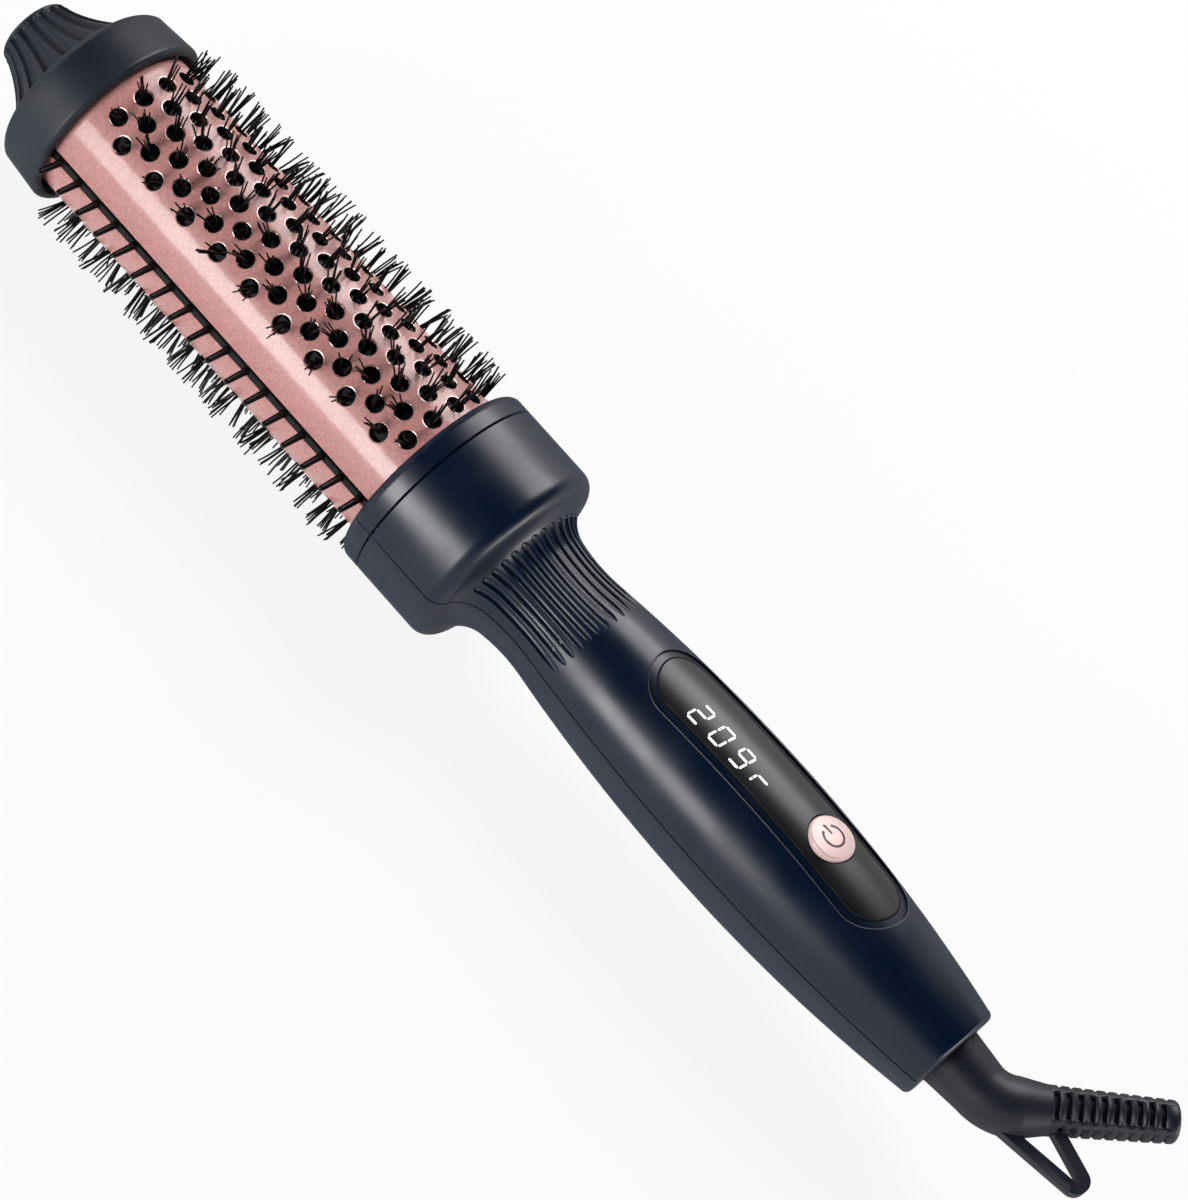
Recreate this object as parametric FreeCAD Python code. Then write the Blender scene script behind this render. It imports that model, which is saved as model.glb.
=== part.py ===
import FreeCAD, Part
import math
import os

# Heated styling brush, in millimetres.
# X runs along the brush axis from the tip (x = 0) to the cord, Z is the display's normal.

# Lengths along the axis
CAP_LENGTH = 28.5
BARREL_LENGTH = 99.0
COLLAR_LENGTH = 25.9
HANDLE_LENGTH = 133.1

# Barrel sleeve
BARREL_R = 19.0
BARREL_WALL = 0.8
SLEEVE_TUCK_CAP = 5.0
SLEEVE_TUCK_COLLAR = 6.0

# Perforation: staggered rows of holes about +Z and -Z
HOLE_R = 1.9
HOLE_SIDES = 8
HOLE_PITCH = 10.04
HOLE_MARGIN = 5.1
ROW_COUNT = 11
ROW_STEP = 10.1

# Bristles
BRISTLE_HEIGHT = 7.1
BRISTLE_WIDTH = 0.62
BRISTLES_PER_HOLE = 3
BRISTLE_SPREAD = 0.75
BRISTLE_LEAN = 0.16
BRISTLE_TURN = 137.5
STRIP_WIDTH = 2.3
STRIP_HEIGHT = 1.1
STRIP_CLEAR = 0.35
CARRIER_WALL = 1.5

# Comb strips
RAIL_WIDTH = 2.0
RAIL_PROUD = 0.35
RAIL_FOOT_WIDTH = 4.4
RAIL_FOOT_HEIGHT = 1.2
TOOTH_PITCH = 5.9
TOOTH_MARGIN = 2.0
TOOTH_HEIGHT = 7.0
TOOTH_ROOT_R = 0.8
TOOTH_TIP_R = 0.65
TOOTH_SIDES = 6

# End cap
CAP_R = 22.4
CAP_FRONT_R = 21.55
CAP_SHOULDER_X = 15.8
CAP_DRUM_X = 18.0
CAP_SHOULDER_BULGE = 0.77
CAP_RIM_ROUND = 1.2
CAP_MOUTH_R = 20.4
CAP_MOUTH_DEPTH = 8.0
TIP_R = 8.6
TIP_ROUND = 2.6
FLARE_ROOT_R = 17.3
FLARE_DIP = 1.0
CAP_FLUTES = 20
CAP_FLUTE_R = 1.5
CAP_FLUTE_TIP_DEPTH = 0.6
CAP_FLUTE_ROOT_DEPTH = 1.3

# Collar and handle shells
COLLAR_R = 23.65
COLLAR_FRONT_ROUND = 2.2
COLLAR_REAR_ROUND = 3.9
COLLAR_LINE = 5.1
COLLAR_LINE_WIDTH = 0.6
COLLAR_LINE_DEPTH = 0.9
COLLAR_WALL = 2.4
HANDLE_WALL = 2.4
WAIST_RUN = 13.5
WAIST_R = 13.4
NECK_TIGHT_R = 8.4
NECK_EASY_R = 41.0
BELLY_RUN = 70.6
BELLY_R = 16.95
TAIL_R = 11.8
TAIL_ROUND = 1.5
TAIL_WALL = 3.0
SEAM_GAP = 0.3

# Neck flutes, on the upper shell only
NECK_FLUTES = 17
NECK_FLUTE_STEP = 9.3
NECK_FLUTE_R = 1.05
NECK_FLUTE_DEPTH = 0.62
NECK_FLUTE_START = 0.45
NECK_FLUTE_RUN = 27.4

# Display panel and power button
PANEL_START = 38.0
PANEL_LENGTH = 67.3
PANEL_HALF = 7.0
PANEL_THICK = 1.0
PANEL_SINK = 0.4
LEDGE_MARGIN = 2.2
LEDGE_SINK = 0.5
WINDOW_LENGTH = 25.0
WINDOW_WIDTH = 10.0
WINDOW_INSET = 9.2
BUTTON_FROM_START = 48.2
BUTTON_R = 5.25
BUTTON_PROUD = 0.1
BUTTON_DOME = 0.4
BUTTON_EDGE = 0.7
BUTTON_GAP = 0.3
BUTTON_FLANGE = 0.9
BUTTON_FLANGE_THICK = 1.2
BUTTON_TRAVEL = 0.5
BUTTON_STEM_R = 1.8
BUTTON_STEM = 0.8
PRESS_GAP = 0.1

# Main board and what it carries
BOARD_THICK = 1.6
BOARD_HALF = 8.5
BOARD_TOP = 5.6
BOARD_LEAD = 8.0
BOARD_TRAIL = 2.0
MODULE_HEIGHT = 6.0
MODULE_MARGIN = 0.6
SWITCH_SIZE = 6.0
SWITCH_HEIGHT = 3.4
PLUNGER_R = 1.6
POST_R = 2.8
BOARD_HOLE_INSET = 4.0

# Screws
SCREW_R = 1.3
SCREW_CLEAR = 0.2
SCREW_HEAD_R = 2.5
SCREW_HEAD_HEIGHT = 1.7
SHELL_BOSS_R = 3.6
SHELL_SCREW_SEAT = 4.2
SHELL_SCREW_BITE = 7.0
SHELL_SCREW_RUNS = (24.0, 108.0)
BOARD_SCREW_BITE = 5.0
CAP_SCREW_RADIUS = 10.0
CAP_SCREW_BITE = 6.0
CAP_SCREW_SINK = 1.0

# Heater stack inside the barrel
PTC_LENGTH = 80.0
PTC_HALF = 8.0
PTC_THICK = 3.0
FILM = 0.3
SPREADER_THICK = 2.6
SHOE_THICK = 2.0
SHOE_OVERLAP = 0.45
SHOE_START = 9.5
SHOE_END = 34.0
CARRIER_END = 54.0
HUB_FLANGE = 1.3
HUB_BORE_R = 9.0
REAR_FLANGE = 3.5
REAR_FLANGE_R = 21.2
REAR_RIB_CLEAR = 6.0
FUSE_R = 1.6
FUSE_LENGTH = 10.0
SENSOR_SIZE = 3.0
LEAD_R = 0.9
LEAD_SPREAD = 6.0
LEAD_BEND = 30.0

# Cord swivel
SWIVEL_R = 7.1
SWIVEL_SHAFT_R = 5.0
SWIVEL_SHAFT = 13.0
SWIVEL_FLANGE_R = 8.6
SWIVEL_FLANGE = 2.6
SWIVEL_GAP = 0.3
BUSH_WALL = 1.5
RING_R = 5.8
RING_WIDTH = 2.4
RING_STEP = 5.0
RING_INSET = 1.0
CONTACT_WIDTH = 1.8
CARRIER_BLOCK = 12.0
CARRIER_LEAD = 0.5
ELBOW_RUN = 13.1
ELBOW_BEND = 45.0
ELBOW_CLOCK = 66.0
ELBOW_RADIUS = 11.0
ELBOW_BEND_R = 6.3
ELBOW_OUT = 10.4
ELBOW_OUT_R = 5.2
ELBOW_SOCKET = 4.0
ELBOW_SOCKET_R = 3.4
BOOT_LENGTH = 27.0
BOOT_TIP_R = 4.4
BOOT_ROUND = 1.25
BOOT_SLOTS = 10
BOOT_SLOT_WIDTH = 1.3
BOOT_SLOT_DEPTH = 1.05
BOOT_SLOT_SPAN = 72.0
CORD_R = 2.75
LOOP_DEPTH = 3.2
LOOP_BAR = 2.4
LOOP_BEND = 1.64
LOOP_APEX_U = 22.28
LOOP_APEX_W = 20.32
LOOP_FOOT_U = 0.7
LOOP_FOOT_W = 4.1
LOOP_BACK_U = 12.7
LOOP_BACK_W = 4.3

# General clearance between pieces of one body, and how far cutters run past a face
FIT = 0.05
PAST = 1.0

# Stations worked out from the lengths
X_RIM = CAP_LENGTH
X_COLLAR = X_RIM + BARREL_LENGTH
X_NECK = X_COLLAR + COLLAR_LENGTH
X_END = X_NECK + HANDLE_LENGTH
X_WAIST = X_NECK + WAIST_RUN
X_BELLY = X_NECK + BELLY_RUN
X_PANEL = X_NECK + PANEL_START
X_PANEL_END = X_PANEL + PANEL_LENGTH
X_BUTTON = X_PANEL + BUTTON_FROM_START
SLEEVE_START = X_RIM - SLEEVE_TUCK_CAP
SLEEVE_END = X_COLLAR + SLEEVE_TUCK_COLLAR
BORE_R = BARREL_R - BARREL_WALL
CAP_FLOOR = X_RIM - CAP_MOUTH_DEPTH
STACK_START = X_RIM
STACK_END = X_COLLAR
STRIP_TOP = BORE_R - STRIP_CLEAR
CARRIER_R = STRIP_TOP - STRIP_HEIGHT - FIT
X_AXIS = FreeCAD.Vector(1, 0, 0)
Z_AXIS = FreeCAD.Vector(0, 0, 1)
ORIGIN = FreeCAD.Vector(0, 0, 0)


def vec(x, y, z):
    return FreeCAD.Vector(x, y, z)


def on_profile(x, r):
    """A point of a half section: x along the axis, r in the Z direction."""
    return vec(x, 0, r)


def line(a, b):
    return Part.LineSegment(a, b).toShape()


def three_point_arc(start, middle, end):
    return Part.Arc(start, middle, end).toShape()


def corner_arc(start, centre, end):
    """Quarter-like arc from start to end about a centre."""
    middle = (start - centre) + (end - centre)
    middle.normalize()
    return three_point_arc(start, centre + middle * (start - centre).Length, end)


def dished(start, end, dip):
    """Point half way between two profile points, moved sideways from the chord."""
    chord = end - start
    side = vec(-chord.z, 0, chord.x)
    side.normalize()
    return (start + end) * 0.5 + side * dip


def polyline(points):
    return [line(a, b) for a, b in zip(points, points[1:])]


def revolved(edges):
    return Part.Face(Part.Wire(edges)).revolve(ORIGIN, X_AXIS, 360)


def tube(x0, x1, outer, inner):
    """Straight ring about the brush axis."""
    return rod(x0, x1, outer).cut(rod(x0, x1, inner))


def rod(x0, x1, r, y=0.0, z=0.0):
    """Round bar parallel to the brush axis."""
    return Part.makeCylinder(r, x1 - x0, vec(x0, y, z), X_AXIS)


def post(x, y, z0, z1, r):
    """Round bar parallel to Z."""
    return Part.makeCylinder(r, z1 - z0, vec(x, y, z0), Z_AXIS)


def block(x0, x1, y0, y1, z0, z1):
    return Part.makeBox(x1 - x0, y1 - y0, z1 - z0, vec(x0, y0, z0))


def turned(shape, degrees):
    """A copy turned about the brush axis; positive goes from +Z towards -Y."""
    copy = shape.copy()
    copy.rotate(ORIGIN, X_AXIS, degrees)
    return copy


def polygon_at(centre, r, sides, direction, phase=0.0):
    """Regular polygon wire about a centre, square to Z or X."""
    points = []
    for k in range(sides + 1):
        angle = phase + 2 * math.pi * k / sides
        u = r * math.cos(angle)
        v = r * math.sin(angle)
        offset = vec(u, v, 0) if direction == "z" else vec(0, u, v)
        points.append(centre + offset)
    return Part.makePolygon(points)


def sector(x0, x1, outer, inner, start, end):
    """Piece of a ring between two angles, measured from +Z towards -Y."""
    def at(r, degrees):
        angle = math.radians(degrees)
        return vec(x0, -r * math.sin(angle), r * math.cos(angle))
    middle = 0.5 * (start + end)
    edges = [
        three_point_arc(at(outer, start), at(outer, middle), at(outer, end)),
        line(at(outer, end), at(inner, end)),
        three_point_arc(at(inner, end), at(inner, middle), at(inner, start)),
        line(at(inner, start), at(outer, start)),
    ]
    return Part.Face(Part.Wire(edges)).extrude(vec(x1 - x0, 0, 0))


def stadium(x0, x1, half, z0, z1):
    """Prism with a long round-ended outline, standing along Z."""
    edges = [
        line(vec(x0 + half, -half, z0), vec(x1 - half, -half, z0)),
        three_point_arc(vec(x1 - half, -half, z0), vec(x1, 0, z0), vec(x1 - half, half, z0)),
        line(vec(x1 - half, half, z0), vec(x0 + half, half, z0)),
        three_point_arc(vec(x0 + half, half, z0), vec(x0, 0, z0), vec(x0 + half, -half, z0)),
    ]
    return Part.Face(Part.Wire(edges)).extrude(vec(0, 0, z1 - z0))


def piped(path, r):
    """Round bar along a path of lines and arcs."""
    start = path[0].valueAt(path[0].FirstParameter)
    heading = path[0].tangentAt(path[0].FirstParameter)
    return Part.Wire(path).makePipe(Part.Face(circle_wire(start, heading, r)))


def circle_wire(centre, direction, r):
    return Part.Wire(Part.makeCircle(r, centre, direction))


def rounded_path(points, radius):
    """Straight runs joined by tangent arcs of one radius."""
    edges = []
    last = points[0]
    for before, corner, after in zip(points, points[1:], points[2:]):
        back = (before - corner).normalize()
        ahead = (after - corner).normalize()
        half = 0.5 * back.getAngle(ahead)
        inward = (back + ahead).normalize()
        reach = radius / math.tan(half)
        start = corner + back * reach
        end = corner + ahead * reach
        middle = corner + inward * (radius / math.sin(half) - radius)
        edges += [line(last, start), three_point_arc(start, middle, end)]
        last = end
    return edges + [line(last, points[-1])]


# Outer form of the handle: a tight and an easy arc at the neck, then a swell arc and a tail arc
def easy_centre():
    return on_profile(X_WAIST, WAIST_R + NECK_EASY_R)


def swell_radius():
    """Radius of the arc that is level at the belly and touches the neck's easy arc."""
    run = X_BELLY - X_WAIST
    rise = WAIST_R + NECK_EASY_R - BELLY_R
    return (run ** 2 + rise ** 2 - NECK_EASY_R ** 2) / (2 * (NECK_EASY_R - rise))


def swell_centre():
    return on_profile(X_BELLY, BELLY_R - swell_radius())


def swell_start():
    """Point where the easy arc of the neck passes into the swell arc."""
    towards = swell_centre() - easy_centre()
    return easy_centre() + towards * (NECK_EASY_R / towards.Length)


def tail_end():
    return on_profile(X_END - TAIL_ROUND, TAIL_R)


def tail_radius():
    run = tail_end().x - X_BELLY
    drop = BELLY_R - TAIL_R
    return (run ** 2 + drop ** 2) / (2 * drop)


def tail_centre():
    return on_profile(X_BELLY, BELLY_R - tail_radius())


def neck_top():
    return on_profile(X_NECK, COLLAR_R - COLLAR_REAR_ROUND)


def tight_centre():
    """Centre of the arc that starts behind the collar and runs into the easy arc."""
    towards = neck_top() - easy_centre()
    reach = NECK_EASY_R - NECK_TIGHT_R
    along = (reach ** 2 - NECK_TIGHT_R ** 2 + towards.Length ** 2) / (2 * towards.Length)
    across = math.sqrt(reach ** 2 - along ** 2)
    towards.normalize()
    return easy_centre() + towards * along + vec(-towards.z, 0, towards.x) * across


def neck_joint():
    """Point where the tight arc passes into the easy arc."""
    towards = tight_centre() - easy_centre()
    return easy_centre() + towards * (NECK_EASY_R / towards.Length)


def handle_radius(x):
    """Radius of the handle's outside between the neck and the tail."""
    centre, r = (swell_centre(), swell_radius()) if x < X_BELLY else (tail_centre(), tail_radius())
    return centre.z + math.sqrt(r ** 2 - (x - centre.x) ** 2)


def handle_outside():
    front = COLLAR_FRONT_ROUND
    rear = COLLAR_REAR_ROUND
    edges = polyline([
        on_profile(X_END, 0),
        on_profile(X_COLLAR, 0),
        on_profile(X_COLLAR, COLLAR_R - front),
    ])
    edges.append(corner_arc(
        on_profile(X_COLLAR, COLLAR_R - front),
        on_profile(X_COLLAR + front, COLLAR_R - front),
        on_profile(X_COLLAR + front, COLLAR_R)))
    edges.append(line(on_profile(X_COLLAR + front, COLLAR_R), on_profile(X_NECK - rear, COLLAR_R)))
    edges.append(corner_arc(
        on_profile(X_NECK - rear, COLLAR_R),
        on_profile(X_NECK - rear, COLLAR_R - rear),
        on_profile(X_NECK, COLLAR_R - rear)))
    belly = on_profile(X_BELLY, BELLY_R)
    edges.append(corner_arc(neck_top(), tight_centre(), neck_joint()))
    edges.append(corner_arc(neck_joint(), easy_centre(), swell_start()))
    edges.append(corner_arc(swell_start(), swell_centre(), belly))
    edges.append(corner_arc(belly, tail_centre(), tail_end()))
    edges.append(corner_arc(
        on_profile(X_END - TAIL_ROUND, TAIL_R),
        on_profile(X_END - TAIL_ROUND, TAIL_R - TAIL_ROUND),
        on_profile(X_END, TAIL_R - TAIL_ROUND)))
    edges.append(line(on_profile(X_END, TAIL_R - TAIL_ROUND), on_profile(X_END, 0)))
    return revolved(edges)


def crown(sink):
    """The handle's swelling form, sunk by an amount, for what follows its crown."""
    start = swell_centre() + (swell_start() - swell_centre()) * (1 - sink / swell_radius())
    belly = on_profile(X_BELLY, BELLY_R - sink)
    end = tail_centre() + (tail_end() - tail_centre()) * (1 - sink / tail_radius())
    edges = [corner_arc(start, swell_centre(), belly), corner_arc(belly, tail_centre(), end)]
    edges += polyline([end, on_profile(end.x, 0), on_profile(start.x, 0), start])
    return revolved(edges)


def cavity_stations():
    """Places and radii of the straight-sided hollow: chamber, neck, belly and tail."""
    chamber = COLLAR_R - COLLAR_WALL
    neck = WAIST_R - HANDLE_WALL
    neck_end = swell_start().x
    stations = [(SLEEVE_END, chamber), (X_NECK - COLLAR_REAR_ROUND, chamber)]
    stations += [(X_NECK, neck), (neck_end, neck)]
    later = [0.5 * (neck_end + X_BELLY), X_BELLY, 0.5 * (X_BELLY + X_END), X_END - TAIL_WALL]
    return stations + [(x, handle_radius(x) - HANDLE_WALL) for x in later]


def cavity_radius(x):
    stations = cavity_stations()
    for (xa, ra), (xb, rb) in zip(stations, stations[1:]):
        if xa <= x <= xb:
            return ra + (rb - ra) * (x - xa) / (xb - xa)
    return stations[-1][1]


def handle_cavity():
    stations = cavity_stations()
    first, last = stations[0][0], stations[-1][0]
    points = [on_profile(first, 0)]
    points += [on_profile(x, r) for x, r in stations]
    points += [on_profile(last, 0), on_profile(first, 0)]
    return revolved(polyline(points))


def collar_line():
    x = X_COLLAR + COLLAR_LINE
    return tube(x, x + COLLAR_LINE_WIDTH, COLLAR_R + PAST, COLLAR_R - COLLAR_LINE_DEPTH)


def hub_rib():
    """Ring inside the collar that holds the rear hub's flange forward."""
    x = SLEEVE_END + REAR_FLANGE + FIT
    return tube(x, x + COLLAR_WALL, COLLAR_R - 0.5 * COLLAR_WALL, HUB_BORE_R + REAR_RIB_CLEAR)


def handle_body():
    body = handle_outside().cut(handle_cavity())
    body = body.fuse(hub_rib())
    barrel_way = rod(X_COLLAR - PAST, SLEEVE_END + PAST, BARREL_R + FIT)
    bush_way = rod(X_END - TAIL_WALL - PAST, X_END + PAST, SWIVEL_R + SWIVEL_GAP + BUSH_WALL)
    return body.cut([barrel_way, bush_way, collar_line()])


# Neck flutes
def neck_flute():
    """Ball-nosed cutter that follows the neck's two arcs at one depth and runs out over the swell."""
    lift = NECK_FLUTE_R - NECK_FLUTE_DEPTH
    tight, easy = tight_centre(), easy_centre()
    top = (neck_top() - tight).normalize()
    low = (neck_joint() - tight).normalize()

    def on_tight(share):
        return tight + (top * (1 - share) + low * share).normalize() * (NECK_TIGHT_R - lift)

    def on_easy(x):
        return on_profile(x, easy.z - math.sqrt((NECK_EASY_R - lift) ** 2 - (x - easy.x) ** 2))
    end_x = X_NECK + NECK_FLUTE_RUN
    knots = [on_tight(NECK_FLUTE_START), on_tight(0.5 * (1 + NECK_FLUTE_START)), on_tight(1.0),
             on_easy(X_WAIST), on_easy(0.5 * (X_WAIST + end_x)), on_easy(end_x)]
    path = Part.BSplineCurve()
    path.interpolate(knots)
    return piped([path.toShape()], NECK_FLUTE_R).fuse(Part.makeSphere(NECK_FLUTE_R, knots[0]))


def neck_flutes():
    cutter = neck_flute()
    middle = 0.5 * (NECK_FLUTES - 1)
    return [turned(cutter, (k - middle) * NECK_FLUTE_STEP) for k in range(NECK_FLUTES)]


# Handle shells
def button_way():
    return post(X_BUTTON, 0, 0, COLLAR_R, BUTTON_R + BUTTON_GAP)


def board_ends():
    return X_PANEL - BOARD_LEAD, X_PANEL_END - BOARD_TRAIL


def board_hole_xs():
    start, end = board_ends()
    return start + BOARD_HOLE_INSET, end - BOARD_HOLE_INSET


def shell_screw_xs():
    return [X_NECK + run for run in SHELL_SCREW_RUNS]


def window_box(z0, z1, grow=0.0):
    x0 = X_PANEL + WINDOW_INSET - grow
    half = 0.5 * WINDOW_WIDTH + grow
    return block(x0, x0 + WINDOW_LENGTH + 2 * grow, -half, half, z0, z1)


def upper_shell(body):
    reach = COLLAR_R + PAST
    shell = body.common(block(X_COLLAR - PAST, X_END + PAST, -reach, reach, 0, reach))
    shell = shell.cut(neck_flutes())
    ledge = stadium(X_PANEL - LEDGE_MARGIN, X_PANEL_END + LEDGE_MARGIN, PANEL_HALF + LEDGE_MARGIN,
                    0, reach).cut(crown(LEDGE_SINK))
    seat = stadium(X_PANEL - FIT, X_PANEL_END + FIT, PANEL_HALF + FIT,
                   0, reach).cut(crown(PANEL_SINK + PANEL_THICK))
    shell = shell.cut([ledge, seat, window_box(BOARD_TOP, reach), button_way()])
    inside = crown(0.5 * (HANDLE_WALL + PANEL_SINK + PANEL_THICK))
    posts = [post(x, 0, BOARD_TOP, reach, POST_R) for x in board_hole_xs()]
    posts += [post(x, 0, 0, reach, POST_R) for x in shell_screw_xs()]
    posts = [p.common(inside) for p in posts]
    shell = shell.fuse(posts)
    pilots = [post(x, 0, BOARD_TOP - PAST, BOARD_TOP + BOARD_SCREW_BITE + FIT, SCREW_R + FIT)
              for x in board_hole_xs()]
    pilots += [post(x, 0, -PAST, SHELL_SCREW_BITE + FIT, SCREW_R + FIT) for x in shell_screw_xs()]
    return shell.cut(pilots)


def lower_shell(body):
    reach = COLLAR_R + PAST
    shell = body.common(block(X_COLLAR - PAST, X_END + PAST, -reach, reach, -reach, -SEAM_GAP))
    inside = crown(0.5 * HANDLE_WALL)
    bosses = [post(x, 0, -reach, -SEAM_GAP, SHELL_BOSS_R).common(inside) for x in shell_screw_xs()]
    shell = shell.fuse(bosses)
    cuts = [post(x, 0, -reach, -SHELL_SCREW_SEAT, SCREW_HEAD_R + SCREW_CLEAR) for x in shell_screw_xs()]
    cuts += [post(x, 0, -reach, 0, SCREW_R + SCREW_CLEAR) for x in shell_screw_xs()]
    return shell.cut(cuts)


def screw(head_point, direction, length):
    """Pan-head screw: the head sits behind head_point, the shank runs along direction."""
    head = Part.makeCylinder(SCREW_HEAD_R, SCREW_HEAD_HEIGHT, head_point - direction * SCREW_HEAD_HEIGHT,
                             direction)
    return head.fuse(Part.makeCylinder(SCREW_R, length, head_point, direction))


def shell_screws():
    length = SHELL_SCREW_SEAT + SHELL_SCREW_BITE
    return Part.Compound([screw(vec(x, 0, -SHELL_SCREW_SEAT), Z_AXIS, length) for x in shell_screw_xs()])


# Barrel
def row_angles():
    middle = 0.5 * (ROW_COUNT - 1)
    return [(k - middle) * ROW_STEP for k in range(ROW_COUNT)]


def hole_xs(row):
    """Hole places along one row; every second row is shifted by half a pitch."""
    shift = 0.5 * HOLE_PITCH if row % 2 == 0 else 0.0
    first = X_RIM + HOLE_MARGIN + shift
    room = X_COLLAR - 0.5 * HOLE_MARGIN - first
    return [first + HOLE_PITCH * k for k in range(int(room / HOLE_PITCH) + 1)]


def hole_punch(x):
    base = polygon_at(vec(x, 0, 0.5 * BARREL_R), HOLE_R, HOLE_SIDES, "z", math.pi / HOLE_SIDES)
    return Part.Face(base).extrude(vec(0, 0, BARREL_R))


def tooth_count():
    return int((BARREL_LENGTH - 2 * TOOTH_MARGIN) / TOOTH_PITCH) + 1


def tooth_start():
    slack = BARREL_LENGTH - (tooth_count() - 1) * TOOTH_PITCH
    return X_RIM + 0.5 * slack


def barrel_sleeve():
    sleeve = tube(SLEEVE_START, SLEEVE_END, BARREL_R, BORE_R)
    punches = []
    for row, angle in enumerate(row_angles()):
        for x in hole_xs(row):
            punch = turned(hole_punch(x), angle)
            punches += [punch, turned(punch, 180)]
    half = 0.5 * RAIL_WIDTH + FIT
    reach = BARREL_R + PAST
    punches.append(block(STACK_START - FIT, STACK_END + FIT, -reach, reach, -half, half))
    return sleeve.cut(punches)


def bristle(x, heading):
    """One tapering three-sided filament on a strip, set off from the hole's centre and leaning out."""
    foot = vec(x, 0, STRIP_TOP) + heading * BRISTLE_SPREAD
    tip = foot + heading * (BRISTLE_LEAN * BRISTLE_HEIGHT)
    tip.z = BARREL_R + BRISTLE_HEIGHT
    base = polygon_at(foot, BRISTLE_WIDTH / math.sqrt(3), 3, "z")
    corners = [v.Point for v in base.Vertexes]
    faces = [Part.Face(Part.makePolygon([a, b, tip, a]))
             for a, b in zip(corners, corners[1:] + corners[:1])]
    return Part.Solid(Part.Shell(faces + [Part.Face(base)]))


def tuft(x, phase):
    """Filaments spread round a hole's centre."""
    headings = [math.radians(phase + 360 * k / BRISTLES_PER_HOLE) for k in range(BRISTLES_PER_HOLE)]
    return [bristle(x, vec(math.cos(a), math.sin(a), 0)) for a in headings]


def bristle_strip(row):
    """Bar behind one row of holes, with a tuft standing through each of them."""
    half = 0.5 * STRIP_WIDTH
    bar = block(STACK_START, STACK_END, -half, half, STRIP_TOP - STRIP_HEIGHT, STRIP_TOP)
    filaments = []
    for k, x in enumerate(hole_xs(row)):
        filaments += tuft(x, (row + k) * BRISTLE_TURN)
    return bar.fuse(filaments)


def top_bristle_strips():
    return Part.Compound([turned(bristle_strip(row), angle) for row, angle in enumerate(row_angles())])


def top_bristle_carrier():
    return sector(STACK_START, STACK_END, CARRIER_R, CARRIER_R - CARRIER_WALL, -CARRIER_END, CARRIER_END)


def comb_tooth(x):
    root = polygon_at(vec(x, 0, BARREL_R), TOOTH_ROOT_R, TOOTH_SIDES, "z")
    tip = polygon_at(vec(x, 0, BARREL_R + TOOTH_HEIGHT), TOOTH_TIP_R, TOOTH_SIDES, "z")
    return Part.makeLoft([root, tip], True, True)


def comb_strip(turn):
    """Comb made on the +Z side, then turned to its own side of the barrel."""
    start, end = STACK_START, STACK_END
    foot_top = math.sqrt(BORE_R ** 2 - (0.5 * RAIL_FOOT_WIDTH) ** 2) - FIT
    half = 0.5 * RAIL_WIDTH
    foot_half = 0.5 * RAIL_FOOT_WIDTH
    foot = block(start, end, -foot_half, foot_half, foot_top - RAIL_FOOT_HEIGHT, foot_top)
    rail = block(start, end, -half, half, foot_top, BARREL_R + RAIL_PROUD)
    teeth = [comb_tooth(tooth_start() + k * TOOTH_PITCH) for k in range(tooth_count())]
    return turned(foot.fuse([rail] + teeth), turn)


# End cap
def flare_points():
    """Start, middle and end of the concave flare of the tip."""
    start = on_profile(TIP_ROUND, TIP_R)
    end = on_profile(CAP_SHOULDER_X, FLARE_ROOT_R)
    return start, dished(start, end, -FLARE_DIP), end


def cap_outside():
    shoulder = on_profile(CAP_SHOULDER_X, FLARE_ROOT_R)
    drum = on_profile(CAP_DRUM_X, CAP_FRONT_R)
    rim = CAP_RIM_ROUND
    edges = [
        line(on_profile(0, 0), on_profile(0, TIP_R - TIP_ROUND)),
        corner_arc(on_profile(0, TIP_R - TIP_ROUND), on_profile(TIP_ROUND, TIP_R - TIP_ROUND),
                   on_profile(TIP_ROUND, TIP_R)),
        three_point_arc(*flare_points()),
        three_point_arc(shoulder, dished(shoulder, drum, CAP_SHOULDER_BULGE), drum),
        line(drum, on_profile(X_RIM - rim, CAP_R)),
        corner_arc(on_profile(X_RIM - rim, CAP_R), on_profile(X_RIM - rim, CAP_R - rim),
                   on_profile(X_RIM, CAP_R - rim)),
        line(on_profile(X_RIM, CAP_R - rim), on_profile(X_RIM, 0)),
        line(on_profile(X_RIM, 0), on_profile(0, 0)),
    ]
    return revolved(edges)


def cap_flute():
    """Round cutter that follows the flare of the tip and deepens towards the shoulder."""
    start, middle, end = flare_points()
    side = vec(start.z - end.z, 0, end.x - start.x)
    side.normalize()
    depths = (CAP_FLUTE_TIP_DEPTH, 0.5 * (CAP_FLUTE_TIP_DEPTH + CAP_FLUTE_ROOT_DEPTH), CAP_FLUTE_ROOT_DEPTH)
    lead = (start - middle).normalize() * TIP_ROUND * 0.5
    points = [p + side * (CAP_FLUTE_R - d) for p, d in zip((start + lead, middle, end), depths)]
    return piped([three_point_arc(*points)], CAP_FLUTE_R)


def cap_screw_points():
    return [vec(0, side * CAP_SCREW_RADIUS, 0) for side in (-1, 1)]


def hub_face():
    return SLEEVE_START - HUB_FLANGE


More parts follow.
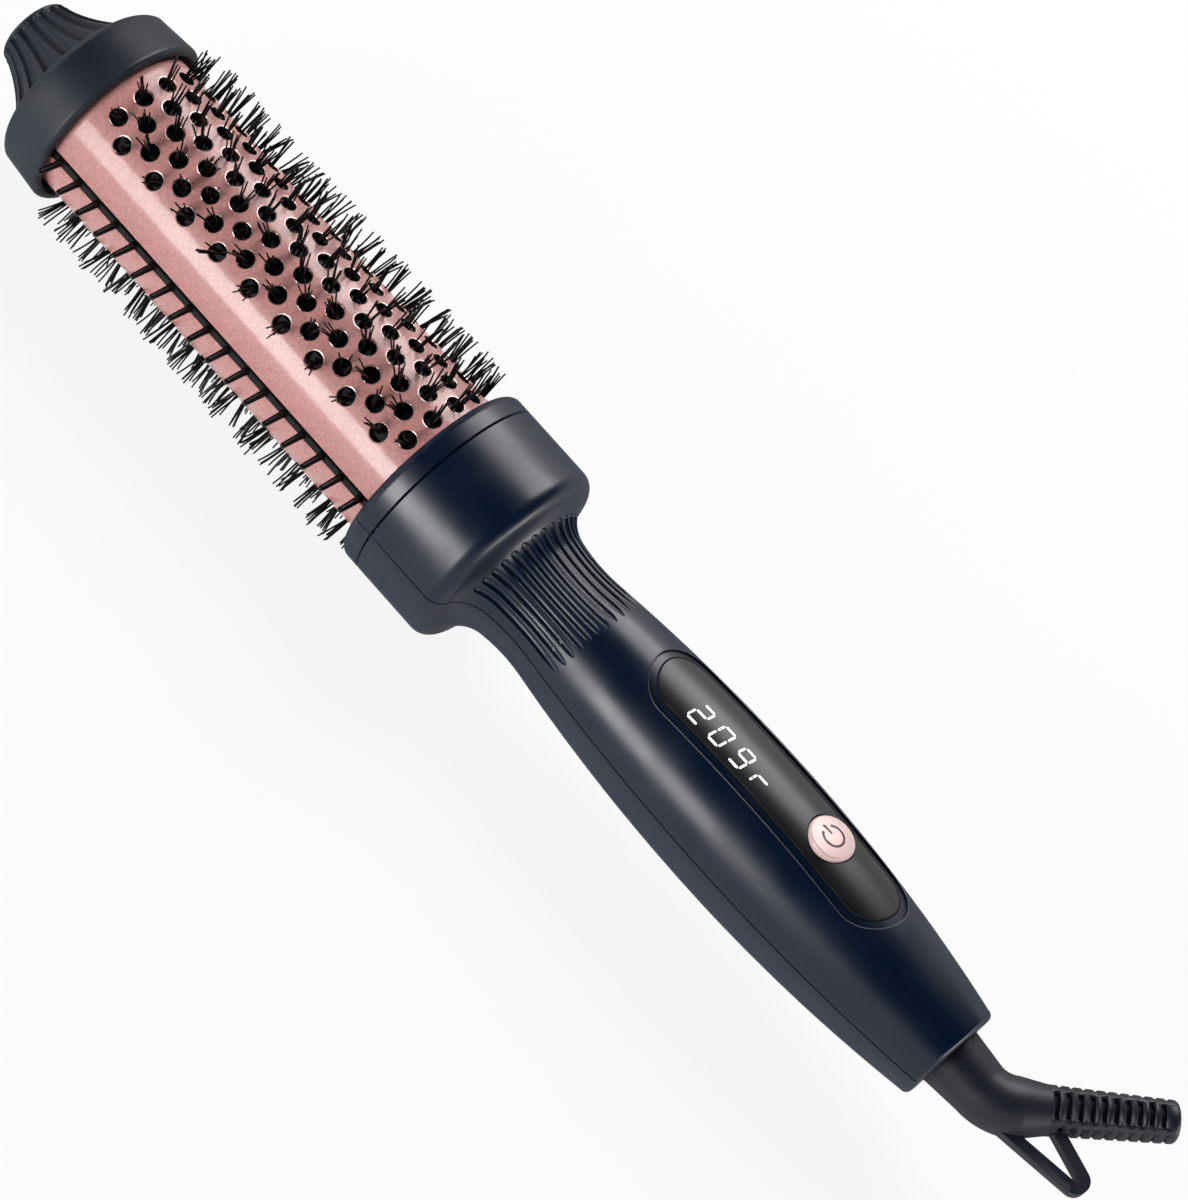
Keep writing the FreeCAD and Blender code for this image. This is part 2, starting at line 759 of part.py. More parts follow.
def end_cap():
    cap = cap_outside()
    cap = cap.cut([turned(cap_flute(), 360.0 * k / CAP_FLUTES) for k in range(CAP_FLUTES)])
    mouth = rod(CAP_FLOOR, X_RIM + PAST, CAP_MOUTH_R)
    cap = cap.cut(mouth)
    bosses = [rod(CAP_FLOOR - PAST, hub_face(), POST_R, p.y) for p in cap_screw_points()]
    cap = cap.fuse(bosses)
    pilots = [rod(hub_face() - CAP_SCREW_BITE, hub_face() + PAST, SCREW_R + FIT, p.y)
              for p in cap_screw_points()]
    return cap.cut(pilots)


def front_hub():
    body = rod(hub_face(), SLEEVE_START, BARREL_R)
    body = body.fuse(rod(SLEEVE_START, STACK_START, BORE_R - FIT))
    way_r = SCREW_R + SCREW_CLEAR
    ways = [rod(hub_face() - PAST, STACK_START + PAST, way_r, p.y) for p in cap_screw_points()]
    pockets = [rod(cap_screw_head_x(), STACK_START + PAST, SCREW_HEAD_R + SCREW_CLEAR, p.y)
               for p in cap_screw_points()]
    return body.cut(ways + pockets)


def cap_screw_head_x():
    return STACK_START - SCREW_HEAD_HEIGHT - CAP_SCREW_SINK


def cap_screws():
    length = cap_screw_head_x() - hub_face() + CAP_SCREW_BITE - 2 * FIT
    seats = [vec(cap_screw_head_x(), p.y, 0) for p in cap_screw_points()]
    return Part.Compound([screw(seat, vec(-1, 0, 0), length) for seat in seats])


def rear_hub():
    body = rod(STACK_END, SLEEVE_END, BORE_R - FIT)
    body = body.fuse(rod(SLEEVE_END, SLEEVE_END + REAR_FLANGE, REAR_FLANGE_R))
    return body.cut(rod(STACK_END - PAST, SLEEVE_END + REAR_FLANGE + PAST, HUB_BORE_R))


# Heater stack
def upper_heat_spreader():
    gap = 0.5 * PTC_THICK + FILM
    outer = BORE_R - FIT
    reach = outer - SHOE_THICK + SHOE_OVERLAP
    plate = block(STACK_START, STACK_END, -reach, reach, gap, gap + SPREADER_THICK)
    shoes = [sector(STACK_START, STACK_END, outer, outer - SHOE_THICK, side * (90 - SHOE_START),
                    side * (90 - SHOE_END)) for side in (-1, 1)]
    return plate.fuse(shoes)


def ptc_start():
    return 0.5 * (STACK_START + STACK_END - PTC_LENGTH)


def ptc_heater():
    x0 = ptc_start()
    return block(x0, x0 + PTC_LENGTH, -PTC_HALF, PTC_HALF, -0.5 * PTC_THICK, 0.5 * PTC_THICK)


def heater_insulation():
    x0 = ptc_start()
    half = 0.5 * PTC_THICK
    outer = block(x0, x0 + PTC_LENGTH, -PTC_HALF - FILM, PTC_HALF + FILM, -half - FILM, half + FILM)
    return outer.cut(ptc_heater())


def spreader_top():
    return 0.5 * PTC_THICK + FILM + SPREADER_THICK


def thermal_fuse():
    x0 = ptc_start() + PTC_LENGTH - FUSE_LENGTH
    return rod(x0, x0 + FUSE_LENGTH, FUSE_R, 0, spreader_top() + FUSE_R + FIT)


def temperature_sensor():
    x0 = ptc_start() + 0.5 * PTC_LENGTH
    half = 0.5 * SENSOR_SIZE
    return block(x0, x0 + SENSOR_SIZE, -half, half, spreader_top(), spreader_top() + SENSOR_SIZE)


def heater_leads():
    start = ptc_start() + PTC_LENGTH
    end = board_ends()[0]
    lift = BOARD_TOP - 0.5 * BOARD_THICK
    rise_start = X_WAIST
    rise_end = 0.5 * (rise_start + end) + 0.25 * (end - rise_start)
    leads = []
    for side in (-1, 1):
        y = side * LEAD_SPREAD
        points = [vec(start, y, 0), vec(rise_start, y, 0), vec(rise_end, y, lift), vec(end, y, lift)]
        leads.append(piped(rounded_path(points, LEAD_BEND), LEAD_R))
    return Part.Compound(leads)


# Display, board and button
def display_panel():
    panel = stadium(X_PANEL, X_PANEL_END, PANEL_HALF, 0, COLLAR_R)
    panel = panel.common(crown(PANEL_SINK)).cut(crown(PANEL_SINK + PANEL_THICK))
    return panel.cut(button_way())


def display_module():
    return window_box(BOARD_TOP, BOARD_TOP + MODULE_HEIGHT, -MODULE_MARGIN)


def main_board():
    start, end = board_ends()
    board = block(start, end, -BOARD_HALF, BOARD_HALF, BOARD_TOP - BOARD_THICK, BOARD_TOP)
    return board.cut([post(x, 0, 0, 2 * BOARD_TOP, SCREW_R + SCREW_CLEAR) for x in board_hole_xs()])


def board_screws():
    seat = BOARD_TOP - BOARD_THICK
    length = BOARD_THICK + BOARD_SCREW_BITE
    return Part.Compound([screw(vec(x, 0, seat), Z_AXIS, length) for x in board_hole_xs()])


def button_levels():
    """Heights of the button's rim, flange and stem foot at rest."""
    flange_r = BUTTON_R + BUTTON_FLANGE
    inside = cavity_radius(X_BUTTON + flange_r)
    flange_top = math.sqrt(inside ** 2 - flange_r ** 2) - BUTTON_GAP
    flange_foot = flange_top - BUTTON_FLANGE_THICK
    rim = handle_radius(X_BUTTON) + BUTTON_PROUD
    return rim, flange_top, flange_foot, flange_foot - BUTTON_STEM


def power_button():
    rim, flange_top, flange_foot, stem_foot = button_levels()
    flange_r = BUTTON_R + BUTTON_FLANGE

    def at(r, z):
        return vec(X_BUTTON + r, 0, z)
    edge_r = BUTTON_R - BUTTON_EDGE
    dome_r = (edge_r ** 2 + BUTTON_DOME ** 2) / (2 * BUTTON_DOME)
    outline = polyline([at(0, rim + BUTTON_DOME), at(0, stem_foot), at(BUTTON_STEM_R, stem_foot),
                        at(BUTTON_STEM_R, flange_foot), at(flange_r, flange_foot), at(flange_r, flange_top),
                        at(BUTTON_R, flange_top), at(BUTTON_R, rim - BUTTON_EDGE)])
    outline.append(corner_arc(
        at(BUTTON_R, rim - BUTTON_EDGE), at(edge_r, rim - BUTTON_EDGE), at(edge_r, rim)))
    outline.append(corner_arc(at(edge_r, rim), at(0, rim + BUTTON_DOME - dome_r), at(0, rim + BUTTON_DOME)))
    return Part.Face(Part.Wire(outline)).revolve(vec(X_BUTTON, 0, 0), Z_AXIS, 360)


def tact_switch():
    half = 0.5 * SWITCH_SIZE
    top = BOARD_TOP + SWITCH_HEIGHT
    case = block(X_BUTTON - half, X_BUTTON + half, -half, half, BOARD_TOP, top)
    plunger_top = button_levels()[3] - BUTTON_TRAVEL - PRESS_GAP
    return case.fuse(post(X_BUTTON, 0, BOARD_TOP, plunger_top, PLUNGER_R))


# Cord swivel
def swivel_stations():
    """Rear and front of the flange, front of the shaft."""
    rear = X_END - TAIL_WALL - SWIVEL_GAP
    front = rear - SWIVEL_FLANGE
    return rear, front, front - SWIVEL_SHAFT


def ring_xs():
    front = swivel_stations()[2]
    return front + RING_INSET, front + RING_INSET + RING_STEP


def swivel_bushing():
    inner = SWIVEL_R + SWIVEL_GAP
    return tube(X_END - TAIL_WALL, X_END, inner + BUSH_WALL - FIT, inner)


def slip_ring(x):
    return tube(x, x + RING_WIDTH, RING_R, SWIVEL_SHAFT_R)


def contact(x, side):
    """Spring blade that bears on one slip ring, through the carrier's wall."""
    x0 = x + 0.5 * (RING_WIDTH - CONTACT_WIDTH)
    inner = RING_R + SWIVEL_GAP
    outer = contact_carrier_r()
    y0, y1 = (inner, outer) if side > 0 else (-outer, -inner)
    half = 0.5 * CONTACT_WIDTH
    return block(x0, x0 + CONTACT_WIDTH, y0, y1, -half, half)


def contact_carrier_ends():
    front = swivel_stations()[2] - CARRIER_LEAD
    return front, front + CARRIER_BLOCK


def contact_carrier_r():
    return cavity_radius(contact_carrier_ends()[1]) - SWIVEL_GAP


def contact_carrier():
    start, end = contact_carrier_ends()
    body = tube(start, end, contact_carrier_r(), RING_R + 2 * SWIVEL_GAP)
    live_x, neutral_x = ring_xs()
    return body.cut([contact(live_x, 1), contact(neutral_x, -1)])


def power_leads():
    start = board_ends()[1]
    end = contact_carrier_ends()[0]
    lift = BOARD_TOP - 0.5 * BOARD_THICK
    return Part.Compound([rod(start, end, LEAD_R, side * LEAD_SPREAD, lift) for side in (-1, 1)])


def bend_frame():
    """Corner of the elbow, the way the cord leaves, and the outer side of the bend."""
    bend = math.radians(ELBOW_BEND)
    clock = math.radians(ELBOW_CLOCK)
    sideways = vec(0, math.sin(clock), math.cos(clock))
    corner = vec(X_END + ELBOW_RUN, 0, 0)
    out = X_AXIS * math.cos(bend) + sideways * math.sin(bend)
    outer = X_AXIS * math.sin(bend) - sideways * math.cos(bend)
    return corner, out, outer


def hanging_loop(grow=0.0):
    """Flat strap bent to a hairpin at its apex; its back end sits in a notch of the boot."""
    corner, out, outer = bend_frame()
    normal = out.cross(outer)

    def at(u, w):
        return corner + out * u + outer * w
    foot = at(LOOP_FOOT_U, LOOP_FOOT_W)
    apex = at(LOOP_APEX_U, LOOP_APEX_W)
    back = at(LOOP_BACK_U, LOOP_BACK_W)
    back += (back - apex).normalize() * grow
    side = normal.cross(apex - foot).normalize() * (0.5 * LOOP_BAR + grow)
    deep = normal * (0.5 * LOOP_DEPTH + grow)
    corners = [foot + side + deep, foot - side + deep, foot - side - deep, foot + side - deep]
    section = Part.Face(Part.Wire(polyline(corners + corners[:1])))
    return Part.Wire(rounded_path([foot, apex, back], LOOP_BEND)).makePipe(section)


def swivel_elbow():
    rear, front, shaft = swivel_stations()
    corner, out, outer = bend_frame()
    reach = ELBOW_RADIUS * math.tan(0.5 * math.radians(ELBOW_BEND))
    root = Part.makeCone(SWIVEL_R, ELBOW_BEND_R, ELBOW_RUN - reach, vec(X_END, 0, 0), X_AXIS)
    path = rounded_path([vec(X_END, 0, 0), corner, corner + out * ELBOW_OUT], ELBOW_RADIUS)
    bend = piped(path[1:2], ELBOW_BEND_R)
    spout = Part.makeCone(ELBOW_BEND_R, ELBOW_OUT_R, ELBOW_OUT - reach, corner + out * reach, out)
    neck = rod(rear, X_END, SWIVEL_R)
    flange = rod(front, rear, SWIVEL_FLANGE_R)
    elbow = root.fuse([bend, spout, neck, flange, rod(shaft, front, SWIVEL_SHAFT_R),
                       hanging_loop()])
    socket = corner + out * (ELBOW_OUT - ELBOW_SOCKET)
    return elbow.cut(Part.makeCylinder(ELBOW_SOCKET_R, ELBOW_SOCKET + PAST, socket, out))


def boot_radius(x):
    return ELBOW_OUT_R + (BOOT_TIP_R - ELBOW_OUT_R) * x / BOOT_LENGTH


def cord_boot():
    """Tapered boot with a cord bore and four rows of slots, every second row half a pitch on."""
    shoulder = BOOT_LENGTH - BOOT_ROUND
    r_end = boot_radius(shoulder)
    edges = polyline([on_profile(0, CORD_R), on_profile(0, ELBOW_OUT_R), on_profile(shoulder, r_end)])
    edges.append(corner_arc(on_profile(shoulder, r_end), on_profile(shoulder, r_end - BOOT_ROUND),
                            on_profile(BOOT_LENGTH, r_end - BOOT_ROUND)))
    edges += polyline([on_profile(BOOT_LENGTH, r_end - BOOT_ROUND), on_profile(BOOT_LENGTH, CORD_R),
                       on_profile(0, CORD_R)])
    boot = revolved(edges)
    pitch = shoulder / (BOOT_SLOTS + 0.5)
    half = 0.5 * BOOT_SLOT_SPAN
    slots = []
    for k in range(2 * BOOT_SLOTS):
        x = 0.5 * (k + 1) * pitch - 0.5 * BOOT_SLOT_WIDTH
        r = boot_radius(x)
        slot = sector(x, x + BOOT_SLOT_WIDTH, ELBOW_OUT_R + PAST, r - BOOT_SLOT_DEPTH, -half, half)
        slots += [turned(slot, 90 * (k % 2)), turned(slot, 90 * (k % 2) + 180)]
    boot = boot.cut(slots)
    corner, out, outer = bend_frame()
    start = corner + out * ELBOW_OUT
    boot.Placement = FreeCAD.Placement(start, FreeCAD.Rotation(out, outer, out.cross(outer), "XYZ"))
    return boot.cut(hanging_loop(FIT))


def build():
    body = handle_body()
    top_strips = top_bristle_strips()
    top_carrier = top_bristle_carrier()
    upper_spreader = upper_heat_spreader()
    live_x, neutral_x = ring_xs()
    return {
        "upper_shell": upper_shell(body),
        "lower_shell": lower_shell(body),
        "shell_screws": shell_screws(),
        "barrel_sleeve": barrel_sleeve(),
        "top_bristle_strips": top_strips,
        "bottom_bristle_strips": turned(top_strips, 180),
        "top_bristle_carrier": top_carrier,
        "bottom_bristle_carrier": turned(top_carrier, 180),
        "near_comb_strip": comb_strip(90),
        "far_comb_strip": comb_strip(-90),
        "end_cap": end_cap(),
        "cap_screws": cap_screws(),
        "front_hub": front_hub(),
        "rear_hub": rear_hub(),
        "upper_heat_spreader": upper_spreader,
        "lower_heat_spreader": turned(upper_spreader, 180),
        "ptc_heater": ptc_heater(),
        "heater_insulation": heater_insulation(),
        "thermal_fuse": thermal_fuse(),
        "temperature_sensor": temperature_sensor(),
        "heater_leads": heater_leads(),
        "display_panel": display_panel(),
        "display_module": display_module(),
        "main_board": main_board(),
        "board_screws": board_screws(),
        "tact_switch": tact_switch(),
        "power_button": power_button(),
        "swivel_bushing": swivel_bushing(),
        "contact_carrier": contact_carrier(),
        "live_contact": contact(live_x, 1),
        "neutral_contact": contact(neutral_x, -1),
        "power_leads": power_leads(),
        "swivel_elbow": swivel_elbow(),
        "live_slip_ring": slip_ring(live_x),
        "neutral_slip_ring": slip_ring(neutral_x),
        "cord_boot": cord_boot(),
    }


os.makedirs("parts", exist_ok=True)
for name, shape in build().items():
    shape.exportStep("parts/" + name + ".step")
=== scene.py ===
import math
from contextlib import contextmanager
from functools import partial

import bmesh
import bpy
from bpy.props import FloatProperty, FloatVectorProperty, IntProperty, PointerProperty
from mathutils import Matrix, Vector
from mathutils.bvhtree import BVHTree


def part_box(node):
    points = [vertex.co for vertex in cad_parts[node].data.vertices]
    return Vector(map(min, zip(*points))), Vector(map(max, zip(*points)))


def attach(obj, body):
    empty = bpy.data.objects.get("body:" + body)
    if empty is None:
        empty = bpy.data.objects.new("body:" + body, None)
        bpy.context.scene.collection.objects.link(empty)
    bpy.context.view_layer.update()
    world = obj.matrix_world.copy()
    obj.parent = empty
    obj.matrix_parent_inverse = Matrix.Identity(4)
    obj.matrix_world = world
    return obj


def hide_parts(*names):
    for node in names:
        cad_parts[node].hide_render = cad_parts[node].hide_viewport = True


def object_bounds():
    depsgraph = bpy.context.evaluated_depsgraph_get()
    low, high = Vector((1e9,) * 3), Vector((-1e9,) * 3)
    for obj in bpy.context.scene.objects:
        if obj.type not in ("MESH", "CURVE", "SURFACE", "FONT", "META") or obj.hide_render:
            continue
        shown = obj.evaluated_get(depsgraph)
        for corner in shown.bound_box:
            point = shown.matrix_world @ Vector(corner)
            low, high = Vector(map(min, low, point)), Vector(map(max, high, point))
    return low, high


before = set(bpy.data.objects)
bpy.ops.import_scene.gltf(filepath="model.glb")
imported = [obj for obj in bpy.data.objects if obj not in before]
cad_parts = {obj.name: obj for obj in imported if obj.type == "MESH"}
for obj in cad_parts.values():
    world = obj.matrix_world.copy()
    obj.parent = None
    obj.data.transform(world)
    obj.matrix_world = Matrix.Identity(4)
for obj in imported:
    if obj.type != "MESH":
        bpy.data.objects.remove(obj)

bl_info = {
    "name": "Heated Styling Brush",
    "version": (1, 0, 0),
    "blender": (4, 5, 0),
    "location": "View3D > Sidebar > Brush",
    "description": "Dresses the packed solids of a heated styling brush with its finishes and fine pieces",
    "category": "Object",
}

CAD_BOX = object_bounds()
MM = 0.001
SLEEVE_LOW, SLEEVE_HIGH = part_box("barrel_sleeve")
COMB_LOW, COMB_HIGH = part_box("near_comb_strip")
STRIP_LOW, STRIP_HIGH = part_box("top_bristle_strips")
PANEL_LOW, PANEL_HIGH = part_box("display_panel")
BUTTON_LOW, BUTTON_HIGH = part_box("power_button")


# Sizes and colours that a user would change
def number(name, description, default, **kind):
    return FloatProperty(name=name, description=description, default=default, **kind)


def length(name, description, millimetres):
    return number(name, description, millimetres * MM, subtype="DISTANCE", unit="LENGTH", precision=5)


def angle(name, description, degrees):
    return number(name, description, math.radians(degrees), subtype="ANGLE", unit="ROTATION")


def share(name, description, default):
    return number(name, description, default, min=0.0, precision=3)


def power(name, description, default):
    return number(name, description, default, unit="POWER")


def count(name, description, default):
    return IntProperty(name=name, description=description, default=default, min=1)


def colour(name, description, default):
    return FloatVectorProperty(name=name, description=description, default=default, subtype="COLOR",
                               size=3, min=0.0, max=1.0)


class BarrelSettings(bpy.types.PropertyGroup):
    radius: length("Radius", "Outer radius of the barrel sleeve", SLEEVE_HIGH.z / MM)
    wall: length("Wall", "Thickness of the sleeve's sheet", 0.8)
    hole_radius: length("Hole radius", "Radius of one round hole", 1.9)
    rim: length("Rim", "Width of the rolled edge of a hole", 0.22)
    first_hole: length("First hole", "Place of the first hole behind the sleeve's front end", 10.1)
    pitch: length("Pitch", "Distance of the holes along a row", 10.04)
    row_step: angle("Row step", "Angle from one row to the next", 10.1)
    half_rows: count("Rows each side", "Rows with holes on each side of the middle row", 5)
    rose: colour("Rose", "Colour of the pearl finish", (0.6, 0.27, 0.25))


class BristleSettings(bpy.types.PropertyGroup):
    per_hole: count("Per hole", "Filaments in one hole", 6)
    thickness: length("Thickness", "Thickness of one filament", 0.48)
    root_radius: length("Root radius", "Distance of a filament's root from the axis", 17.5)
    spread: length("Spread", "How far the roots spread in a hole", 0.95)
    lean: angle("Lean", "Most that a tuft leans", 13.0)
    stray: share("Stray", "How far filaments stray from their tuft's lean", 0.6)
    bend: length("Bend", "How far a filament's end bends over", 0.5)
    seed: count("Seed", "Seed of the filaments' scatter", 7)
    strip_width: length("Strip width", "Width of the strip that holds a row", 2.3)
    strip_depth: length("Strip depth", "Thickness of the strip that holds a row", 1.1)
    black: colour("Black", "Colour of the filaments", (0.003, 0.003, 0.0035))


class CombSettings(bpy.types.PropertyGroup):
    pegs: count("Pegs", "Pegs on one comb", 17)
    pitch: length("Pitch", "Distance from peg to peg", 5.9)
    root: length("Root radius", "Radius of a peg at the rail", 0.78)
    tip: length("Tip radius", "Radius of a peg at its round end", 0.64)
    rail_width: length("Rail width", "Width of the rail in the sleeve's slot", 2.0)
    rail_gap: length("Rail gap", "Gap between the rail and the sleeve's slot", 0.2)
    rail_proud: length("Rail height", "How far the rail stands out of the sleeve", 0.35)


class HandleSettings(bpy.types.PropertyGroup):
    navy: colour("Navy", "Colour of the moulded shells", (0.0009, 0.0065, 0.0228))
    crease: angle("Crease", "Angle from which an edge stays sharp", 32.0)
    ledge: length("Ledge", "Width of the ledge round the display panel", 2.2)
    ledge_sink: length("Ledge depth", "Depth of the ledge round the display panel", 0.5)
    panel_sink: length("Panel depth", "Depth of the display panel's face", 0.4)
    # The seam strip is dark plastic put inside the seam as painted shade, where the shells' gap would let
    # the backdrop through.
    seam_sink: length("Seam depth", "Depth of the dark strip in the seam between the shells", 0.4)
    seam_width: length("Seam width", "Width of the dark strip in the seam", 0.7)
    lip: length("Lip", "Radius of the fine lip on the ledge's outer edge", 0.13)
    # The gap line is a dark tube of painted shade in the gap round the display panel.
    gap_line: length("Gap line", "Radius of the dark line round the display panel", 0.22)


class DisplaySettings(bpy.types.PropertyGroup):
    digit_height: length("Digit height", "Height of one digit", 4.6)
    digit_width: length("Digit width", "Width of one digit", 3.0)
    digit_step: length("Digit step", "Distance from digit to digit", 6.0)
    first_digit: length("First digit", "Place of the first digit behind the panel's front end", 10.9)
    digit_side: length("Digit side", "Sideways place of the digits' middle", -3.5)
    bar: length("Bar", "Width of one lit bar", 0.5)
    slant: share("Slant", "Sideways lean of the digits", 0.16)
    lit: colour("Lit", "Colour of the lit bars", (0.93, 0.88, 0.98))
    button_radius: length("Button radius", "Radius of the power button", 5.24)
    symbol_radius: length("Symbol radius", "Radius of the power symbol's ring", 2.35)
    symbol_width: length("Symbol width", "Width of the symbol's groove", 0.6)
    symbol_depth: length("Symbol depth", "Depth of the symbol's groove", 0.2)


class StageSettings(bpy.types.PropertyGroup):
    floor: colour("Floor", "Colour of the floor and backdrop", (0.93, 0.93, 0.93))
    key_power: power("Key power", "Power of the low soft light in front", 6.5)
    back_power: power("Back power", "Power of the soft light above and behind", 8.4)
    tail_power: power("Tail power", "Power of the light beyond the cord end", 5.0)
    world: share("World", "Strength of the even light from all sides", 0.02)


class BrushSettings(bpy.types.PropertyGroup):
    barrel: PointerProperty(type=BarrelSettings)
    bristles: PointerProperty(type=BristleSettings)
    combs: PointerProperty(type=CombSettings)
    handle: PointerProperty(type=HandleSettings)
    display: PointerProperty(type=DisplaySettings)
    stage: PointerProperty(type=StageSettings)


# Node helpers
def node_tree(kind, name, inputs, outputs):
    """Tree with named sockets, listed by their type, and the outputs of its Group Input."""
    tree = bpy.data.node_groups.new(name, kind)
    for side, sockets in (("INPUT", inputs), ("OUTPUT", outputs)):
        for socket, labels in sockets.items():
            for label in labels:
                tree.interface.new_socket(label, in_out=side, socket_type="NodeSocket" + socket)
    return tree, tree.nodes.new("NodeGroupInput").outputs


def fill(tree, node, values):
    """Sets a node's inputs; a node or socket among the values is linked, a list of them in its order."""
    for key, value in values.items():
        socket = node.inputs[key]
        if isinstance(key, str):
            socket = next(s for s in node.inputs if s.name == key and s.enabled)
        for source in value if isinstance(value, list) else [value]:
            if isinstance(source, bpy.types.Node):
                source = next(s for s in source.outputs if s.enabled)
            if isinstance(source, bpy.types.NodeSocket):
                tree.links.new(source, socket)
            else:
                socket.default_value = source


def add(tree, kind, values=None, **settings):
    """New node with its settings and inputs."""
    node = tree.nodes.new(kind)
    for key, value in settings.items():
        setattr(node, key, value)
    fill(tree, node, values or {})
    return node


def math_node(tree, operation, *values):
    return add(tree, "ShaderNodeMath", dict(enumerate(values)), operation=operation)


def combine(tree, x=0.0, y=0.0, z=0.0):
    return add(tree, "ShaderNodeCombineXYZ", {"X": x, "Y": y, "Z": z})


def span(tree, value, low, high, to_low=0.0, to_high=1.0):
    """Map Range node with clamped ends."""
    return add(tree, "ShaderNodeMapRange", {
        "Value": value, "From Min": low, "From Max": high, "To Min": to_low, "To Max": to_high})


# Shader groups and finishes
COARSE_SHARE = 0.35  # scale of the coarse grain, as a share of the fine one's
SPECKLE_SPAN, CLOUD_SPAN = (0.3, 0.7), (0.35, 0.65)  # noise values that go from nothing to all
GRAZE_SPAN = (0.3, 0.75)  # Layer Weight's Facing, where the graze starts and is full
CLOUD_SCALE = 60.0


def grain_group(name):
    """Fine moulded or blasted grain: a height for bump and a speckle for tone."""
    group, take = node_tree("ShaderNodeTree", name, {"Vector": ["Vector"], "Float": ["Scale"]},
                            {"Float": ["Height", "Speckle"]})
    fine = add(group, "ShaderNodeTexNoise", {
        "Vector": take["Vector"], "Scale": take["Scale"], "Detail": 3.0, "Roughness": 0.6})
    coarse = add(group, "ShaderNodeTexNoise", {
        "Vector": take["Vector"], "Scale": math_node(group, "MULTIPLY", take["Scale"], COARSE_SHARE),
        "Detail": 2.0})
    add(group, "NodeGroupOutput", {
        "Height": math_node(group, "ADD", fine, coarse), "Speckle": span(group, fine, *SPECKLE_SPAN)})
    return group


def cloud_group(name):
    """Slow change over the surface, as from handling and moulding flow."""
    group, take = node_tree("ShaderNodeTree", name, {"Vector": ["Vector"], "Float": ["Scale"]},
                            {"Float": ["Mask"]})
    slow = add(group, "ShaderNodeTexNoise", {
        "Vector": take["Vector"], "Scale": take["Scale"], "Detail": 4.0, "Roughness": 0.55})
    add(group, "NodeGroupOutput", {"Mask": span(group, slow, *CLOUD_SPAN)})
    return group


GROUP_MAKERS = {"Surface grain": grain_group, "Surface cloud": cloud_group}


def group_node(tree, name, values):
    """Shared shader group in a material, built at its first use."""
    group = bpy.data.node_groups.get(name) or GROUP_MAKERS[name](name)
    return add(tree, "ShaderNodeGroup", values, node_tree=group)


def shaded(rgb, factor):
    return (*(min(1.0, c * factor) for c in rgb), 1.0)


def finish(name, rgb, roughness, metallic=0.0, grain=3000.0, bump=0.1, depth=0.02, tone=0.12, play=0.05,
           specular=0.5, coat=0.0, coat_rough=0.2, graze=0.0, glow=0.0):
    """Grained material: speckled tone, clouded roughness and a fine bump, all on Object coordinates.

    A grazed satin loses gloss towards its outline, as its fine grain hides the mirror there.
    The bump's depth is in millimetres.
    """
    mat = bpy.data.materials.new(name)
    mat.use_nodes = True
    tree = mat.node_tree
    spot = add(tree, "ShaderNodeTexCoord").outputs["Object"]
    fine = group_node(tree, "Surface grain", {"Vector": spot, "Scale": grain}).outputs
    slow = group_node(tree, "Surface cloud", {"Vector": spot, "Scale": CLOUD_SCALE})
    tones = add(tree, "ShaderNodeMix", {
        "Factor": fine["Speckle"], "A": shaded(rgb, 1 - tone), "B": shaded(rgb, 1 + tone)}, data_type="RGBA")
    rough = span(tree, slow, 0.0, 1.0, roughness - play, roughness + play)
    if graze:
        facing = add(tree, "ShaderNodeLayerWeight").outputs["Facing"]
        rough = math_node(tree, "ADD", rough, span(tree, facing, *GRAZE_SPAN, 0.0, graze))
    relief = add(tree, "ShaderNodeBump", {
        "Strength": bump, "Distance": depth * MM, "Height": fine["Height"]})
    shader = tree.nodes["Principled BSDF"]
    fill(tree, shader, {
        "Base Color": tones, "Roughness": rough, "Normal": relief, "Metallic": metallic,
        "Specular IOR Level": specular, "Coat Weight": coat, "Coat Roughness": coat_rough})
    if glow:
        fill(tree, shader, {"Emission Color": tones, "Emission Strength": glow})
    return mat


